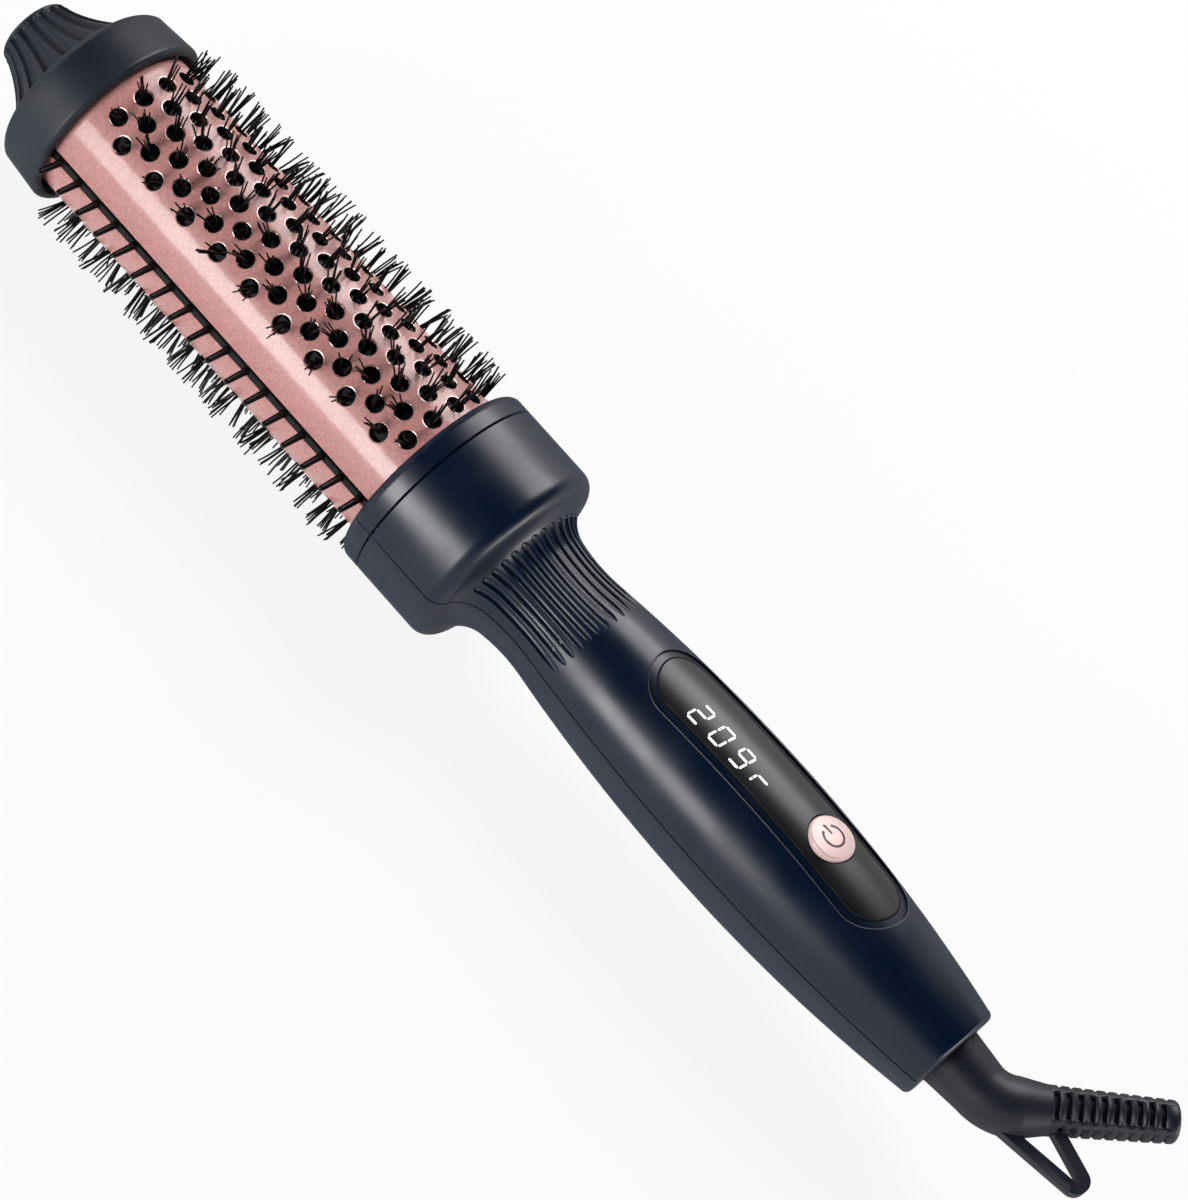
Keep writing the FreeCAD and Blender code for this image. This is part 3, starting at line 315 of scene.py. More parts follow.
# By short name: material name, colour or the setting that holds it, roughness, and what isn't plain
FINISHES = {
    "shell": ("Navy satin plastic", "handle.navy", 0.32,
              dict(grain=2400, bump=0.11, specular=0.42, graze=0.42)),
    "cap": ("Navy grained plastic", (0.0105, 0.0155, 0.025), 0.46,
            dict(grain=2000, bump=0.32, specular=0.4, graze=0.3)),
    "rose": ("Rose pearl paint", "barrel.rose", 0.46,
             dict(grain=1700, bump=0.22, tone=0.2, specular=0.45, coat=0.55, coat_rough=0.14)),
    "bristle": ("Black filament", "bristles.black", 0.4, dict(grain=2500, bump=0.05, specular=0.2)),
    "comb": ("Black comb plastic", (0.0025, 0.0025, 0.003), 0.32, dict(bump=0.12, specular=0.24)),
    "panel": ("Smoked panel", (0.0042, 0.0046, 0.0062), 0.34,
              dict(grain=2600, bump=0.05, play=0.02, specular=0.42, graze=0.3)),
    "button": ("Pale rose paint", (0.86, 0.62, 0.6), 0.42, dict(metallic=0.1, grain=5200, bump=0.12)),
    "rim": ("Bare hole rim", (0.8, 0.58, 0.55), 0.28, dict(metallic=1.0, bump=0.05)),
    "symbol": ("Dark engraving", (0.075, 0.06, 0.06), 0.5, dict(metallic=0.6)),
    "rubber": ("Grained rubber", (0.0058, 0.0085, 0.0165), 0.46,
               dict(grain=1900, bump=0.55, depth=0.05, specular=0.42, graze=0.3)),
    # The lip is a real rounded edge, but its colour is paler than the shells' navy: a painted highlight
    # along the ledge.
    "edge": ("Fine moulded lip", (0.02, 0.026, 0.042), 0.3, dict(grain=2500)),
    "lit": ("Lit bars", "display.lit", 0.4, dict(glow=0.75)),
    "steel": ("Plated steel", (0.5, 0.5, 0.5), 0.3, dict(metallic=1.0)),
    # Dark inner plastic of the hubs, carriers and switch; also painted shade for the seam strip and the dark
    # line in the panel's gap.
    "dark": ("Dark inner plastic", (0.0025, 0.0025, 0.003), 0.6, dict(specular=0.2)),
    "heat": ("Extruded aluminium", (0.62, 0.62, 0.64), 0.35, dict(metallic=1.0)),
    "ceramic": ("Fired ceramic", (0.6, 0.57, 0.5), 0.55, {}),
    "film": ("Amber film", (0.55, 0.27, 0.04), 0.3, {}),
    "lead": ("Red lead sleeve", (0.35, 0.03, 0.02), 0.5, {}),
    "board": ("Green laminate", (0.02, 0.13, 0.05), 0.4, {}),
    "brass": ("Contact brass", (0.65, 0.42, 0.12), 0.3, dict(metallic=1.0)),
}


def paint(key):
    """Finish by its short name, made at its first use."""
    name, rgb, roughness, values = FINISHES[key]
    if isinstance(rgb, str):
        rgb = bpy.context.scene.brush.path_resolve(rgb)
    return bpy.data.materials.get(name) or finish(name, rgb, roughness, **values)


# Mesh helpers
WELD = 0.0005 * MM  # distance within which a solid's loose corners are one


def linked(name, data):
    """Object of a mesh, light or camera, in the scene."""
    obj = bpy.data.objects.new(name, data)
    bpy.context.scene.collection.objects.link(obj)
    return obj


def new_object(name, verts, faces=(), *finishes):
    """Object of a new mesh, with its finishes by their short names."""
    mesh = bpy.data.meshes.new(name)
    mesh.from_pydata(verts, [], faces)
    mesh.validate()
    for key in finishes:
        mesh.materials.append(paint(key))
    return linked(name, mesh)


def set_attribute(mesh, name, kind, domain, values):
    mesh.attributes.new(name, kind, domain).data.foreach_set("value", values)


def set_creases(mesh, crease):
    """Smooth faces with sharp edges where the surface turns by more than the crease angle."""
    mesh.polygons.foreach_set("use_smooth", [True] * len(mesh.polygons))
    mesh.set_sharp_from_angle(angle=crease)


@contextmanager
def editing(mesh):
    """BMesh of a mesh, written back at the end."""
    shape = bmesh.new()
    shape.from_mesh(mesh)
    yield shape
    shape.to_mesh(mesh)
    shape.free()


def face_out(mesh):
    """Turns the faces of closed shapes outwards."""
    with editing(mesh) as shape:
        bmesh.ops.recalc_face_normals(shape, faces=shape.faces)


def settle(obj):
    """Turns an object with live modifiers into one plain mesh."""
    graph = bpy.context.evaluated_depsgraph_get()
    mesh = bpy.data.meshes.new_from_object(obj.evaluated_get(graph))
    obj.modifiers.clear()
    obj.data = mesh


def place(obj, body, slot, *nodes):
    """Hands a finished piece to its body and hides the solids it stands for; the slot is not used."""
    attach(obj, body)
    if nodes:
        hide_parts(*nodes)


def smooth_copy(node, name, body, slot, key, crease):
    """Merged copy of a solid's mesh with smooth shading, in the solid's stead."""
    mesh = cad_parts[node].data.copy()
    mesh.name = name
    with editing(mesh) as shape:
        bmesh.ops.remove_doubles(shape, verts=shape.verts, dist=WELD)
    mesh.materials.clear()
    mesh.materials.append(paint(key))
    set_creases(mesh, crease)
    copy = linked(name, mesh)
    copy.modifiers.new("flow", "WEIGHTED_NORMAL").keep_sharp = True
    settle(copy)
    place(copy, body, slot, node)
    return copy


def circle(radius, sides):
    """Points round a circle as (x, y)."""
    turns = [2 * math.pi * k / sides for k in range(sides)]
    return [(radius * math.cos(turn), radius * math.sin(turn)) for turn in turns]


def ring_faces(n, rings, first=0, closed=False, flip=False):
    """Faces between rings of n points each, which follow each other from a first point on."""
    faces = []
    for ring in range(rings - 1 + closed):
        low, high = first + ring * n, first + (ring + 1) % rings * n
        for k in range(n):
            after = (k + 1) % n
            face = (low + k, low + after, high + after, high + k)
            faces.append(face[:1] + face[:0:-1] if flip else face)
    return faces


def prism(low, high, first=0):
    """Closed shape between two like outlines that turn left as seen from beyond the second."""
    n = len(low)
    ends = [tuple(first + n - 1 - k for k in range(n)), tuple(first + n + k for k in range(n))]
    return [*low, *high], ring_faces(n, 2, first) + ends


def beam(outline, start, end):
    """Prism along X from an outline of (y, z) pairs."""
    return prism(*([(x, y, z) for y, z in outline] for x in (start, end)))


def lathe(profile, sides):
    """Closed round shape about Z from (radius, height) pairs that start and end on the axis."""
    (_, bottom), *rings, (_, top) = profile
    verts = [(0.0, 0.0, bottom)] + [(x, y, z) for r, z in rings for x, y in circle(r, sides)]
    faces = ring_faces(sides, len(rings), first=1)
    last = len(verts) - sides
    for k in range(sides):
        after = (k + 1) % sides
        faces += [(0, 1 + after, 1 + k), (len(verts), last + k, last + after)]
    return verts + [(0.0, 0.0, top)], faces


# Geometry Nodes helpers
def geometry_tree(name, inputs):
    """Geometry tree with a geometry in and out and named inputs."""
    shape = {"Geometry": ["Geometry"]}
    return node_tree("GeometryNodeTree", name, {**shape, **inputs}, shape)


def painted(tree, shape, material):
    """Last nodes of a tree: Realize Instances and Set Material."""
    real = add(tree, "GeometryNodeRealizeInstances", {"Geometry": shape})
    return add(tree, "GeometryNodeSetMaterial", {"Geometry": real, "Material": material})


def run_tree(obj, tree, values):
    """Puts a tree on an object as a modifier, with its inputs set by identifier, and settles it."""
    modifier = obj.modifiers.new(tree.name, "NODES")
    modifier.node_group = tree
    for item in tree.interface.items_tree:
        if item.item_type == "SOCKET" and item.in_out == "INPUT" and item.name in values:
            modifier[item.identifier] = values[item.name]
    settle(obj)


# Barrel
LAST_HOLE = 2.55 * MM  # least distance of a row's last hole from the combs' rear end
CELL_PARTS = (6, 4, 6, 6, 4, 6)  # points along each side of a cell
RIM_PROFILE = ((0.0, -0.7), (0.35, -0.2), (1.0, 0.0), (2.2, 0.0))  # in rim widths: beyond the hole, height
RIM_BANDS = 2  # bands of that profile with the bare finish
PLAIN_RINGS = (0.6, 1.3)  # rings of a plain cell, in hole radii
SPARE_CELLS = 2  # plain cells beyond each end of a row
FIELD_MARGIN = 1.2  # how far the cells' middles go beyond the sleeve, in pitches
SHEET_WELD = 0.002 * MM  # distance within which corners of neighbouring cells are one
SHEET_SLIVER = 1e-5 * MM ** 2  # area under which a cell's face has been closed up
SHEET_CREASE = math.radians(50)


def row_holes(barrel, row):
    """Places of the holes along one row; rows an odd number from the middle are shifted by half a pitch."""
    first = SLEEVE_LOW.x + barrel.first_hole + (0.5 * barrel.pitch if row % 2 else 0.0)
    last = COMB_HIGH.x - LAST_HOLE
    return [first + barrel.pitch * k for k in range(int((last - first) / barrel.pitch) + 1)]


def hexagon(barrel):
    """Edge points of the cell round one hole of the staggered field, in unrolled lengths."""
    pitch = barrel.pitch
    step = barrel.radius * barrel.row_step
    side = (0.25 * pitch ** 2 + step ** 2) / pitch
    shoulder = side - 2 * step ** 2 / pitch
    upper = [(side, 0), (shoulder, step), (-shoulder, step)]
    corners = upper + [(-x, -y) for x, y in upper]
    points = []
    for part, a, b in zip(CELL_PARTS, corners, corners[1:] + corners[:1]):
        points += [(a[0] + (b[0] - a[0]) * n / part, a[1] + (b[1] - a[1]) * n / part) for n in range(part)]
    return points


def sheet_cell(barrel, holed):
    """One cell of the sheet, with a hole with a rolled rim, or plain."""
    edge = hexagon(barrel)
    n = len(edge)
    r, rim = barrel.hole_radius, barrel.rim
    rings = [(part * r, 0.0) for part in PLAIN_RINGS]
    if holed:
        rings = [(r + out * rim, up * rim) for out, up in RIM_PROFILE]
    turns = [math.atan2(y, x) for x, y in edge]
    verts = [(ring * math.cos(turn), ring * math.sin(turn), z) for ring, z in rings for turn in turns]
    verts += [(x, y, 0.0) for x, y in edge]
    faces = ring_faces(n, len(rings) + 1, flip=True)
    if not holed:
        verts.append((0.0, 0.0, 0.0))
        faces += [(len(verts) - 1, k, (k + 1) % n) for k in range(n)]
    cell = new_object("cell", verts, faces)
    bare = [holed and k < RIM_BANDS * n for k in range(len(faces))]
    set_attribute(cell.data, "rim", "BOOLEAN", "FACE", bare)
    return cell


def sheet_tree():
    """Lays cells on a flat field of points, rolls it round the axis and repeats it on the other side."""
    tree, take = geometry_tree("Perforated sleeve", {
        "Object": ("Holed cell", "Plain cell"), "Float": ("Radius", "Low X", "High X", "Half arc"),
        "Material": ("Material", "Rim")})
    node, calc = partial(add, tree), partial(math_node, tree)
    holed = node("GeometryNodeInputNamedAttribute", {"Name": "holed"}, data_type="BOOLEAN")
    plain = node("FunctionNodeBooleanMath", {0: holed}, operation="NOT")
    laid = []
    for label, pick in (("Holed cell", holed), ("Plain cell", plain)):
        cell = node("GeometryNodeObjectInfo", {"Object": take[label]}).outputs["Geometry"]
        laid.append(node("GeometryNodeInstanceOnPoints", {
            "Points": take["Geometry"], "Instance": cell, "Selection": pick}))
    joined = node("GeometryNodeJoinGeometry", {"Geometry": laid})
    real = node("GeometryNodeRealizeInstances", {"Geometry": joined})
    merged = node("GeometryNodeMergeByDistance", {"Geometry": real, "Distance": SHEET_WELD})
    x, y, z = node("ShaderNodeSeparateXYZ", {0: node("GeometryNodeInputPosition")}).outputs
    along = calc("MINIMUM", calc("MAXIMUM", x, take["Low X"]), take["High X"])
    arc = calc("MINIMUM", y, take["Half arc"])
    arc = calc("MAXIMUM", arc, calc("MULTIPLY", take["Half arc"], -1.0))
    turn = calc("DIVIDE", arc, take["Radius"])
    r = calc("ADD", z, take["Radius"])
    side, up = (calc("MULTIPLY", r, calc(wave, turn)) for wave in ("SINE", "COSINE"))
    bent = node("GeometryNodeSetPosition", {"Geometry": merged, "Position": combine(tree, along, side, up)})
    below = node("GeometryNodeTransform", {"Geometry": bent, "Rotation": (math.pi, 0.0, 0.0)})
    both = node("GeometryNodeJoinGeometry", {"Geometry": [bent, below]})
    bare = node("GeometryNodeInputNamedAttribute", {"Name": "rim"}, data_type="BOOLEAN")
    rimmed = node("GeometryNodeSetMaterial", {
        "Geometry": painted(tree, both, take["Material"]), "Selection": bare, "Material": take["Rim"]})
    node("NodeGroupOutput", {"Geometry": rimmed})
    return tree


def clean_sheet(mesh):
    """Drops the cells that the roll's limits closed up, and merges what they leave."""
    with editing(mesh) as shape:
        bmesh.ops.dissolve_degenerate(shape, edges=shape.edges, dist=2 * SHEET_WELD)
        bmesh.ops.remove_doubles(shape, verts=shape.verts, dist=SHEET_WELD)
        thin = [f for f in shape.faces if f.calc_area() < SHEET_SLIVER]
        bmesh.ops.delete(shape, geom=thin, context="FACES_ONLY")
        loose = [v for v in shape.verts if not v.link_faces]
        bmesh.ops.delete(shape, geom=loose, context="VERTS")


class BRUSH_OT_barrel(bpy.types.Operator):
    """Perforated barrel sleeve with rolled hole rims"""
    bl_idname = "brush.barrel"
    bl_label = "Barrel sleeve"

    def execute(self, context):
        barrel, combs = context.scene.brush.barrel, context.scene.brush.combs
        points, holed = [], []
        margin = FIELD_MARGIN * barrel.pitch
        rows = int(0.5 * math.pi / barrel.row_step) + 1
        for row in range(-rows, rows + 1):
            holes = row_holes(barrel, row)
            for k in range(-SPARE_CELLS, len(holes) + SPARE_CELLS):
                x = holes[0] + barrel.pitch * k
                if SLEEVE_LOW.x - margin < x < SLEEVE_HIGH.x + margin:
                    points.append((x, barrel.radius * barrel.row_step * row, 0.0))
                    holed.append(abs(row) <= barrel.half_rows and 0 <= k < len(holes))
        sleeve = new_object("rose_sleeve", points)
        set_attribute(sleeve.data, "holed", "BOOLEAN", "POINT", holed)
        cells = [sheet_cell(barrel, flag) for flag in (True, False)]
        slot_half = math.asin((0.5 * combs.rail_width + combs.rail_gap) / barrel.radius)
        run_tree(sleeve, sheet_tree(), {
            "Holed cell": cells[0], "Plain cell": cells[1], "Radius": barrel.radius,
            "Low X": SLEEVE_LOW.x, "High X": SLEEVE_HIGH.x,
            "Half arc": barrel.radius * (0.5 * math.pi - slot_half),
            "Material": paint("rose"), "Rim": paint("rim")})
        for cell in cells:
            bpy.data.objects.remove(cell)
        clean_sheet(sleeve.data)
        wall = sleeve.modifiers.new("wall", "SOLIDIFY")
        wall.thickness = barrel.wall
        wall.offset = -1.0
        settle(sleeve)
        set_creases(sleeve.data, SHEET_CREASE)
        place(sleeve, "brush", "rose_barrel", "barrel_sleeve")
        return {"FINISHED"}


# Bristles
LOWER_SEED = 100  # seed of the lower field beyond the upper field's
LEAST_REACH = 0.05  # least squared share of the spread
FILAMENT_HEIGHTS = (0.78, 0.985)
FILAMENT_KNEE = 0.6  # share of the height below the bend
FILAMENT_TAPER = 0.75
FILAMENT_RINGS, FILAMENT_SIDES = 4, 5
BRISTLE_CREASE = math.radians(60)


def bristle_tree():
    """Scatters leaning, bent filaments in each hole and turns them to their rows."""
    tree, take = geometry_tree("Bristle field", {
        "Int": ("Per hole", "Seed"), "Object": ("Bar",), "Material": ("Material",),
        "Float": ("Height", "Thickness", "Spread", "Lean", "Stray", "Bend")})
    node, calc, times = partial(add, tree), partial(math_node, tree), partial(math_node, tree, "MULTIPLY")

    def draw(low, high, shift):
        seed = calc("ADD", take["Seed"], float(shift))
        return node("FunctionNodeRandomValue", {"Min": low, "Max": high, "Seed": seed}, data_type="FLOAT")

    def read(name, kind="FLOAT"):
        return node("GeometryNodeInputNamedAttribute", {"Name": name}, data_type=kind)

    is_hole, turn = read("is_hole", "BOOLEAN"), read("turn")
    tufts = node("GeometryNodeMeshToPoints", {"Mesh": take["Geometry"], "Selection": is_hole})
    for name, shift in (("tuft_x", 1), ("tuft_y", 2)):
        values = {"Geometry": tufts, "Name": name, "Value": draw(-1.0, 1.0, shift)}
        tufts = node("GeometryNodeStoreNamedAttribute", values, data_type="FLOAT", domain="POINT")
    many = node("GeometryNodeDuplicateElements", {
        "Geometry": tufts, "Amount": take["Per hole"]}, domain="POINT")
    heading = draw(0.0, 2 * math.pi, 3)
    reach = times(calc("SQRT", draw(LEAST_REACH, 1.0, 4)), take["Spread"])
    offset = combine(tree, *(times(reach, calc(wave, heading)) for wave in ("COSINE", "SINE")))
    spread = node("GeometryNodeSetPosition", {"Geometry": many, "Offset": offset})
    tilts = []
    for name, shift in (("tuft_x", 5), ("tuft_y", 6)):
        stray = times(draw(-1.0, 1.0, shift), take["Stray"])
        tilts.append(times(calc("ADD", read(name), stray), take["Lean"]))
    facing = node("FunctionNodeAlignRotationToVector", {"Vector": combine(tree, *tilts, 1.0)}, axis="Z")
    for axis, by, space in (((0.0, 0.0, 1.0), heading, "LOCAL"), ((1.0, 0.0, 0.0), turn, "GLOBAL")):
        spin = node("FunctionNodeAxisAngleToRotation", {"Axis": axis, "Angle": by})
        values = {"Rotation": facing, "Rotate By": spin}
        facing = node("FunctionNodeRotateRotation", values, rotation_space=space)
    at_row = node("ShaderNodeVectorRotate", {
        "Vector": node("GeometryNodeInputPosition"), "Angle": turn}, rotation_type="X_AXIS")
    moved = node("GeometryNodeSetPosition", {"Geometry": spread, "Position": at_row})
    line = node("GeometryNodeCurveQuadraticBezier", {
        "Resolution": FILAMENT_RINGS, "Start": (0.0, 0.0, 0.0),
        "Middle": combine(tree, z=times(take["Height"], FILAMENT_KNEE)),
        "End": combine(tree, take["Bend"], z=take["Height"])})
    taper = span(tree, node("GeometryNodeSplineParameter"), 0.0, 1.0, 1.0, FILAMENT_TAPER)
    sized = node("GeometryNodeSetCurveRadius", {"Curve": line, "Radius": taper})
    ring = node("GeometryNodeCurvePrimitiveCircle", {
        "Resolution": FILAMENT_SIDES, "Radius": times(take["Thickness"], 0.5)})
    filament = node("GeometryNodeCurveToMesh", {
        "Curve": sized, "Profile Curve": ring, "Fill Caps": True, "Scale": taper})
    grown = node("GeometryNodeInstanceOnPoints", {
        "Points": moved, "Instance": filament, "Rotation": facing,
        "Scale": combine(tree, 1.0, 1.0, draw(*FILAMENT_HEIGHTS, 7))})
    bars = node("GeometryNodeInstanceOnPoints", {
        "Points": take["Geometry"],
        "Selection": node("FunctionNodeBooleanMath", {0: is_hole}, operation="NOT"),
        "Instance": node("GeometryNodeObjectInfo", {"Object": take["Bar"]}).outputs["Geometry"],
        "Rotation": node("FunctionNodeEulerToRotation", {"Euler": combine(tree, turn)})})
    joined = node("GeometryNodeJoinGeometry", {"Geometry": [grown, bars]})
    node("NodeGroupOutput", {"Geometry": painted(tree, joined, take["Material"])})
    return tree


class BRUSH_OT_bristles(bpy.types.Operator):
    """Bristle strips with their leaning filaments, above and below"""
    bl_idname = "brush.bristles"
    bl_label = "Bristles"

    def execute(self, context):
        bristles, barrel = context.scene.brush.bristles, context.scene.brush.barrel
        tree = bristle_tree()
        root, half = bristles.root_radius, 0.5 * bristles.strip_width
        foot = root - bristles.strip_depth
        outline = ((-half, foot), (half, foot), (half, root), (-half, root))
        bar = new_object("strip_bar", *beam(outline, STRIP_LOW.x, STRIP_HIGH.x))
        for name, zone, shift, node in (("top_filaments", 0.0, 0, "top_bristle_strips"),
                                        ("bottom_filaments", math.pi, LOWER_SEED, "bottom_bristle_strips")):
            points, turns, is_hole = [], [], []
            for row in range(-barrel.half_rows, barrel.half_rows + 1):
                holes = row_holes(barrel, row)
                points += [(x, 0.0, root) for x in holes] + [(0.0, 0.0, 0.0)]
                turns += [row * barrel.row_step + zone] * (len(holes) + 1)
                is_hole += [True] * len(holes) + [False]
            field = new_object(name, points)
            set_attribute(field.data, "turn", "FLOAT", "POINT", turns)
            set_attribute(field.data, "is_hole", "BOOLEAN", "POINT", is_hole)
            run_tree(field, tree, {
                "Per hole": bristles.per_hole, "Height": STRIP_HIGH.z - root,
                "Thickness": bristles.thickness, "Spread": bristles.spread, "Lean": bristles.lean,
                "Stray": bristles.stray, "Bend": bristles.bend, "Seed": bristles.seed + shift,
                "Bar": bar, "Material": paint("bristle")})
            set_creases(field.data, BRISTLE_CREASE)
            place(field, "brush", "bristle", node)
        bpy.data.objects.remove(bar)
        return {"FINISHED"}


# Combs
PEG_SIDES = 14
PEG_ROOT = ((1.35, -0.3), (1.3, 0.0), (1.08, 0.3), (1.0, 0.8))  # root radii, millimetres over the rail
PEG_END_TURNS = (0, 30, 60)
RAIL_CHAMFER = 0.25 * MM
RAIL_FOOT_DEPTH = 1.2 * MM
RAIL_FOOT_GAP = 0.06 * MM
COMB_CREASE = math.radians(40)


def comb_tree():
    """Row of pegs on a rail, turned to its side of the barrel."""
    tree, take = geometry_tree("Comb", {
        "Object": ("Peg",), "Int": ("Pegs",), "Float": ("First X", "Pitch", "Turn"),
        "Material": ("Material",)})
    node = partial(add, tree)
    spots = node("GeometryNodeMeshLine", {
        "Count": take["Pegs"], "Start Location": combine(tree, take["First X"]),
        "Offset": combine(tree, take["Pitch"])})
    peg = node("GeometryNodeObjectInfo", {"Object": take["Peg"]}).outputs["Geometry"]
    pegs = node("GeometryNodeInstanceOnPoints", {"Points": spots, "Instance": peg})
    joined = node("GeometryNodeJoinGeometry", {"Geometry": [pegs, take["Geometry"]]})
    turned = node("GeometryNodeTransform", {"Geometry": joined, "Rotation": combine(tree, take["Turn"])})
    node("NodeGroupOutput", {"Geometry": painted(tree, turned, take["Material"])})
    return tree


def peg_profile(combs, barrel, top):
    """Half outline of a peg: a fillet at the rail, a taper and a round end."""
    base = barrel.radius + combs.rail_proud
    root = [(combs.root * wide, base + up * MM) for wide, up in PEG_ROOT]
    turns = [math.radians(turn) for turn in PEG_END_TURNS]
    end = [(combs.tip * math.cos(turn), top - combs.tip + combs.tip * math.sin(turn)) for turn in turns]
    return [(0.0, root[0][1]), *root, *end, (0.0, top)]


def rail_shape(combs, barrel):
    """Rail that fills the sleeve's slot, with its wider foot inside and chamfered top edges."""
    half, foot = 0.5 * combs.rail_width, combs.rail_width
    proud = barrel.radius + combs.rail_proud
    inner = math.sqrt((barrel.radius - barrel.wall) ** 2 - foot ** 2) - RAIL_FOOT_GAP
    right = [(foot, inner - RAIL_FOOT_DEPTH), (foot, inner), (half, inner), (half, proud - RAIL_CHAMFER),
             (half - RAIL_CHAMFER, proud)]
    outline = right + [(-y, z) for y, z in reversed(right)]
    return beam(outline, COMB_LOW.x, COMB_HIGH.x)


class BRUSH_OT_combs(bpy.types.Operator):
    """Comb strips along the smooth bands of the barrel"""
    bl_idname = "brush.combs"
    bl_label = "Comb strips"

    def execute(self, context):
        combs, barrel = context.scene.brush.combs, context.scene.brush.barrel
        peg = new_object("peg", *lathe(peg_profile(combs, barrel, -COMB_LOW.y), PEG_SIDES))
        run = (combs.pegs - 1) * combs.pitch
        tree = comb_tree()
        for name, turn, node in (("near_comb", 0.5 * math.pi, "near_comb_strip"),
                                 ("far_comb", -0.5 * math.pi, "far_comb_strip")):
            comb = new_object(name, *rail_shape(combs, barrel))
            run_tree(comb, tree, {
                "Peg": peg, "Pegs": combs.pegs, "First X": 0.5 * (COMB_LOW.x + COMB_HIGH.x - run),
                "Pitch": combs.pitch, "Turn": turn, "Material": paint("comb")})
            face_out(comb.data)
            set_creases(comb.data, COMB_CREASE)
            place(comb, "brush", "comb", node)
        bpy.data.objects.remove(peg)
        return {"FINISHED"}


# Shells, cap and cord swivel
# Arcs of the handle's outline in millimetres: where each ends along X, its centre (along X, from the axis)
# and its radius; a negative radius is hollow, none is straight
HANDLE_ARCS = (
    (129.7, 129.7, 21.45, 2.2),
    (149.5, 149.5, 23.65, 0.0),
    (153.4, 149.5, 19.75, 3.9),
    (160.0013, 161.4147, 22.2648, -8.4),
    (171.9784, 166.9, 54.4, -41.0),
    (224.0, 224.0, -403.038, 419.988),
    (285.0, 224.0, -346.887, 363.837),
    (286.5, 285.0, 10.3, 1.5),
)
NECK_ARCS = HANDLE_ARCS[3:5]
NECK_START, NECK_END = 153.0 * MM, 183.0 * MM  # where the neck starts and its flutes have run out along X
FLUTE_STEP = math.radians(9.3)
FLUTE_RADIUS = 1.05 * MM
FLUTE_LIFT = 0.43 * MM  # height of a flute's middle line over the neck
FLUTE_FIRST = Vector((155.815, 16.593)) * MM  # first point of that line (along X, from the axis)
ON_FORM = 0.05 * MM  # how near a spot lies to the turned form that it belongs to
IN_FLUTE = 0.12 * MM  # how near a spot lies to the flute that it belongs to
AGREEMENT = math.cos(math.radians(30))  # least agreement of a face with its exact normals
SMALL_FACE = 0.02 * MM ** 2  # faces this small take the exact normal whatever their own
SEAM_STATIONS = 160


def handle_outline(x):
    """Radius of the handle at a place along X, and its outward normal there as (along X, from the axis)."""
    for end, centre_x, centre_r, radius in HANDLE_ARCS:
        if x <= end * MM or end == HANDLE_ARCS[-1][0]:
            break
    if not radius:
        return centre_r * MM, (0.0, 1.0)
    run = max(-1.0, min(1.0, (x / MM - centre_x) / radius))
    rise = math.sqrt(1 - run ** 2)
    return (centre_r + radius * rise) * MM, (run, rise)


def turned_normal(spot, sinks):
    """Normal at a spot that lies on the handle's turned form, or sunk below it by one of some depths."""
    r = math.hypot(spot.y, spot.z)
    form, (along, out) = handle_outline(spot.x)
    if r and any(abs((form - r) * out - sink) < ON_FORM for sink in sinks):
        return Vector((along, out * spot.y / r, out * spot.z / r))
    return None


def flute_normal(spot, turn):
    """Normal at a spot in the neck flute at a turn about the axis: towards the flute's middle line."""
    sine, cosine = math.sin(turn), math.cos(turn)
    across = spot.y * cosine - spot.z * sine
    r = spot.y * sine + spot.z * cosine
    _, centre_x, centre_r, radius = NECK_ARCS[0] if spot.x < NECK_ARCS[0][0] * MM else NECK_ARCS[1]
    centre = Vector((centre_x * MM, centre_r * MM))
    line = centre + (Vector((spot.x, r)) - centre).normalized() * (-radius * MM - FLUTE_LIFT)
    if line.x < FLUTE_FIRST.x:
        line = FLUTE_FIRST
    rise = line.y - r
    inward = Vector((line.x - spot.x, rise * sine - across * cosine, rise * cosine + across * sine))
    return inward.normalized() if abs(inward.length - FLUTE_RADIUS) < IN_FLUTE else None


def exact_normals(mesh, sinks, fluted=False):
    """Exact normals where a mesh lies on the handle's turned form or in a neck flute."""
    normals = [corner.vector.copy() for corner in mesh.corner_normals]
    for face in mesh.polygons:
        spots = [mesh.vertices[index].co for index in face.vertices]
        options = [[turned_normal(spot, sinks) for spot in spots]]
        if fluted and NECK_START < face.center.x < NECK_END:
            turn = FLUTE_STEP * round(math.atan2(face.center.y, face.center.z) / FLUTE_STEP)
            options.append([flute_normal(spot, turn) for spot in spots])
        fits = [(min(face.normal.dot(n) for n in option), k)
                for k, option in enumerate(options) if None not in option]
        if fits and (max(fits)[0] > AGREEMENT or face.area < SMALL_FACE):
            for corner, normal in zip(face.loop_indices, options[max(fits)[1]]):
                normals[corner] = normal
    mesh.normals_split_custom_set(normals)


def seam_shape(handle):
    """Dark strip of painted shade on each side of the handle, just inside the seam and short of the handle's
    rounded rear end.
    """
    (start, _, _), (_, _, low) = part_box("lower_shell")
    (_, _, high), (end, _, _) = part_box("upper_shell")
    start, end = start + handle.seam_sink, end - 2 * handle.seam_sink
    verts, faces = [], []
    for side in (1, -1):
        first = len(verts)
        for k in range(SEAM_STATIONS + 1):
            x = start + (end - start) * k / SEAM_STATIONS
            out = handle_outline(x)[0] - handle.seam_sink
            inside = out - handle.seam_width
            verts += [(x, side * y, z) for y, z in ((out, low), (out, high), (inside, high), (inside, low))]
        faces += ring_faces(4, SEAM_STATIONS + 1, first)
        faces += [tuple(range(first, first + 4)), tuple(range(len(verts) - 4, len(verts)))]
    return verts, faces


